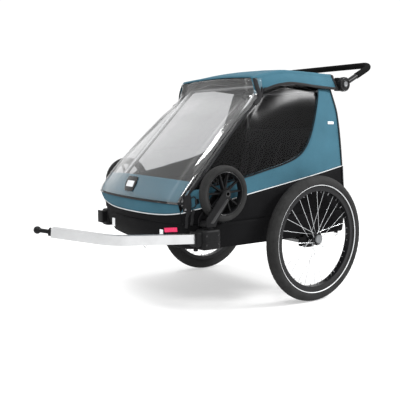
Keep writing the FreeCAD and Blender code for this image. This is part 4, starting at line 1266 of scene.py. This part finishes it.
def make_small_parts():
    for end, width, way, material in (("front", 0.022, -1, "white_reflector"),
                                      ("rear", 0.040, 1, "red_reflector")):
        low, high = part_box(end + "_reflectors")
        pieces = [lens(at(x, low.y, low.z), at(x + width, high.y, high.z), way, material)
                  for x in (low.x, high.x - width)]
        hold(join(end + "_lenses", pieces), "base", end + "_reflectors")

    low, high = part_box("pull_tab")
    route = []
    for t in steps(0, 1, 24):
        x = low.x + (high.x - low.x) * t
        route.append(front_point(x, 0.324, 0.0018 + 0.0016 * math.sin(t * 9) + 0.0008))
        route[-1].z = 0.319 + 0.008 * t
    hold(ribbon("pull_loop", route, (0.35, -1, 0), 0.016, 0.0022, "pink"), "base", "pull_tab")


def curved_plate(name, outline, lift, depth, material):
    """A plate that follows the front: its (x, height) outline stands off the cloth by lift."""
    outer = [front_point(x, z, lift) for x, z in outline]
    inner = [p + at(0, depth, 0) for p in outer]
    return prism(name, inner, outer, material, width=0.0006, segments=2, angle_limit=0.9)


def make_ring_loops():
    """The short webbing loops that the tie rings hang in."""
    low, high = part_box("tie_rings")
    loops = []
    bend = 0.0032
    for x, y, z in ((low.x + 0.002, low.y, high.z), (high.x - 0.002, high.y, high.z)):
        hanger = at(x, y + math.copysign(0.009, -y), z - 0.0045)
        turn = [at(0, math.sin(a), math.cos(a)) for a in steps(math.pi / 2, math.pi * 1.5, 12)]
        ends = [at(x, hanger.y + side * bend, 0.2515) for side in (1, -1)]
        route = [ends[0]] + [hanger + way * bend for way in turn] + [ends[1]]
        normals = [at(0, 1, 0)] + turn + [at(0, -1, 0)]
        loops.append(ribbon("loop", even(route, 30), resample(normals, 30), 0.014, 0.0014, "webbing"))
    hold(join("ring_loops", loops), "base")


def make_badges():
    """A plain plate on the front panel and a plain tag on each side, with no lettering."""
    holder = rounded([(-0.034, 0.502), (0.034, 0.502), (0.039, 0.474), (0.028, 0.447), (-0.028, 0.447),
                      (-0.039, 0.474)], 0.005, 3)
    badge = rounded([(-0.025, 0.486), (0.025, 0.486), (0.025, 0.464), (-0.025, 0.464)], 0.003, 3)
    hold(curved_plate("badge_holder", holder, 0.0062, 0.003, "gloss"))
    hold(curved_plate("badge_plate", badge, 0.0072, 0.002, "badge"))
    for k, tag in SIDES:
        rows = [[side_point(k, y, z, 0.0012) for y in steps(0.466, 0.502, 8)] for z in steps(0.700, 0.711, 4)]
        label = turn_out(grid("side_tag" + tag, rows, "stripe"), outward)
        hold(thicken(label, 0.0008, lined=False))


RIVET = [(-3.5, 0.3), (-3.5, 4), (0, 3.8), (1, 2.8), (1.3, 0.3)]


def make_corner_straps(k, tag):
    """Webbing, elastic and toggle that hold the windshield's lower corner, and its top strap."""
    patch = [film_point(k * 1.05, 0.452, 0.007), film_point(k * 1.10, 0.420, 0.009),
             side_point(k, -0.246, 0.386, 0.004, 0)]
    pieces = [ribbon("patch", even(patch, 20), (k, -0.9, 0.1), 0.030, 0.0022, "binding")]
    for shift, end in ((0.0, 0.334), (0.016, 0.344)):
        down = [side_point(k, -0.242 + shift, z, 0.0042 + 0.0016 * math.sin(i * 0.7 + shift * 60), 0)
                for i, z in enumerate(steps(0.400, end, 14))]
        pieces.append(ribbon("tail", down, (k, -0.7, 0), 0.011, 0.0018, "webbing"))
    for y, z in ((-0.240, 0.446), (-0.246, 0.424), (-0.251, 0.402)):
        pieces.append(lathe("rivet", RIVET, side_point(k, y, z, 0.0056, 0), "dull_steel", 20))
    cord = [side_point(k, *place, 0) for place in (
        (-0.238, 0.440, 0.0060), (-0.222, 0.450, 0.0040), (-0.214, 0.430, 0.0038),
        (-0.218, 0.410, 0.0036), (-0.238, 0.404, 0.0050))]
    half = at(0.0032, 0.007, 0.009)
    pieces += [tube("loop", even(soften(cord, 3), 40), 0.0019, "webbing"),
               block("toggle", cord[2] - half, cord[2] + half, 0.0022, "gloss")]
    hold(join("windshield_fixing" + tag, pieces))

    y = 0.112
    strap = [(k * (ROOF_X(y) + 0.0055), 0.110, ROOF_EDGE(y) - 0.006),
             (k * (VALANCE_X(y) + 0.0075), 0.106, 0.835)]
    strap += [(k * (side_x(CORNER_Y(z) + 0.02, z) + lift), CORNER_Y(z) + back, z)
              for z, lift, back in ((0.80, 0.007, 0.018), (0.775, 0.006, 0.012))]
    hold(ribbon("top_strap" + tag, even(soften(strap, 2), 24), (k, -0.5, 0.1), 0.018, 0.002, "binding"),
         "canopy_frame")


# ------------------------------------------------------------ CAD parts that stay as they are

# Names that end in _ stand for a left and a right part.
PAINT = {
    "frame_alu": "hoop_ side_rails cross_rails canopy_crossbars rear_legs seat_frame axle_beam",
    "alu": "hitch_arm",
    "steel": "wheel_axles tie_rings frame_brackets",
    "spoke": "spokes_",
    "rim": "rim_",
    "plastic": "hub_ caster_stem_ handle_housing_ axle_brackets leg_brackets brake_pedal hitch_latch",
    "grey": "wheel_button_",
    "black_metal": "handlebar_tube hitch_ball",
    "foam": "handlebar_grip",
}


def paint_frame():
    for material, names in PAINT.items():
        for name in names.split():
            for node in [name + "left", name + "right"] if name.endswith("_") else [name]:
                materials = NODES[node].data.materials
                materials.clear()
                materials.append(MAT[material])


# ------------------------------------------------------------ stage

def aim(obj, place, target):
    """Puts a lamp or the camera at place, looking at target."""
    bpy.context.scene.collection.objects.link(obj)
    obj.location = place
    obj.rotation_euler = (Vector(target) - obj.location).to_track_quat("-Z", "Y").to_euler()


# Soft lights: name, place, target, size and power.
LIGHTS = [
    ("key", (1.9, -1.75, 2.75), (0, 0.1, 0.4), (0.55, 0.9), 34),
    ("top", (0.2, 0.4, 3.4), (0, 0.1, 0.4), (3.4, 3.4), 28),
    ("streak", (-0.31, -0.90, 3.06), (0.25, -0.1, 0.65), (0.55, 0.55), 20),
    ("side", (1.94, 2.28, 2.18), (0.28, 0.28, 0.80), (1.2, 0.55), 105),
]
FLOOR_REACH = 14.0


def make_stage():
    scene = bpy.context.scene
    world = bpy.data.worlds.new("studio")
    scene.world = world
    world.use_nodes = True
    background = world.node_tree.nodes["Background"]
    background.inputs["Color"].default_value = (1, 1, 1, 1)
    background.inputs["Strength"].default_value = 1.06
    scene.view_settings.view_transform = "Standard"

    ends = (-FLOOR_REACH, FLOOR_REACH)
    turn_out(grid("studio_floor", [[(x, y, 0) for x in ends] for y in ends], "floor"), (0, 0, 1))

    for name, place, target, size, power in LIGHTS:
        data = bpy.data.lights.new(name, "AREA")
        data.shape = "RECTANGLE"
        data.size, data.size_y = size
        data.energy = power
        aim(bpy.data.objects.new(name, data), place, target)

    lens_data = bpy.data.cameras.new("camera")
    lens_data.sensor_width = 36
    lens_data.lens = 56.9
    scene.camera = bpy.data.objects.new("camera", lens_data)
    aim(scene.camera, (2.103, -1.491, 0.689), (0, 0.028, 0.389))


def both_sides(*makers):
    for make in makers:
        for k, tag in SIDES:
            make(k, tag)


make_tub()
both_sides(make_side)
make_rear()
make_windshield()
make_roof()
make_seat()
make_harness()
both_sides(make_main_wheel, make_caster_wheel, make_socket, make_fork, make_knob)
make_small_parts()
make_ring_loops()
make_badges()
both_sides(make_corner_straps)
paint_frame()
make_stage()
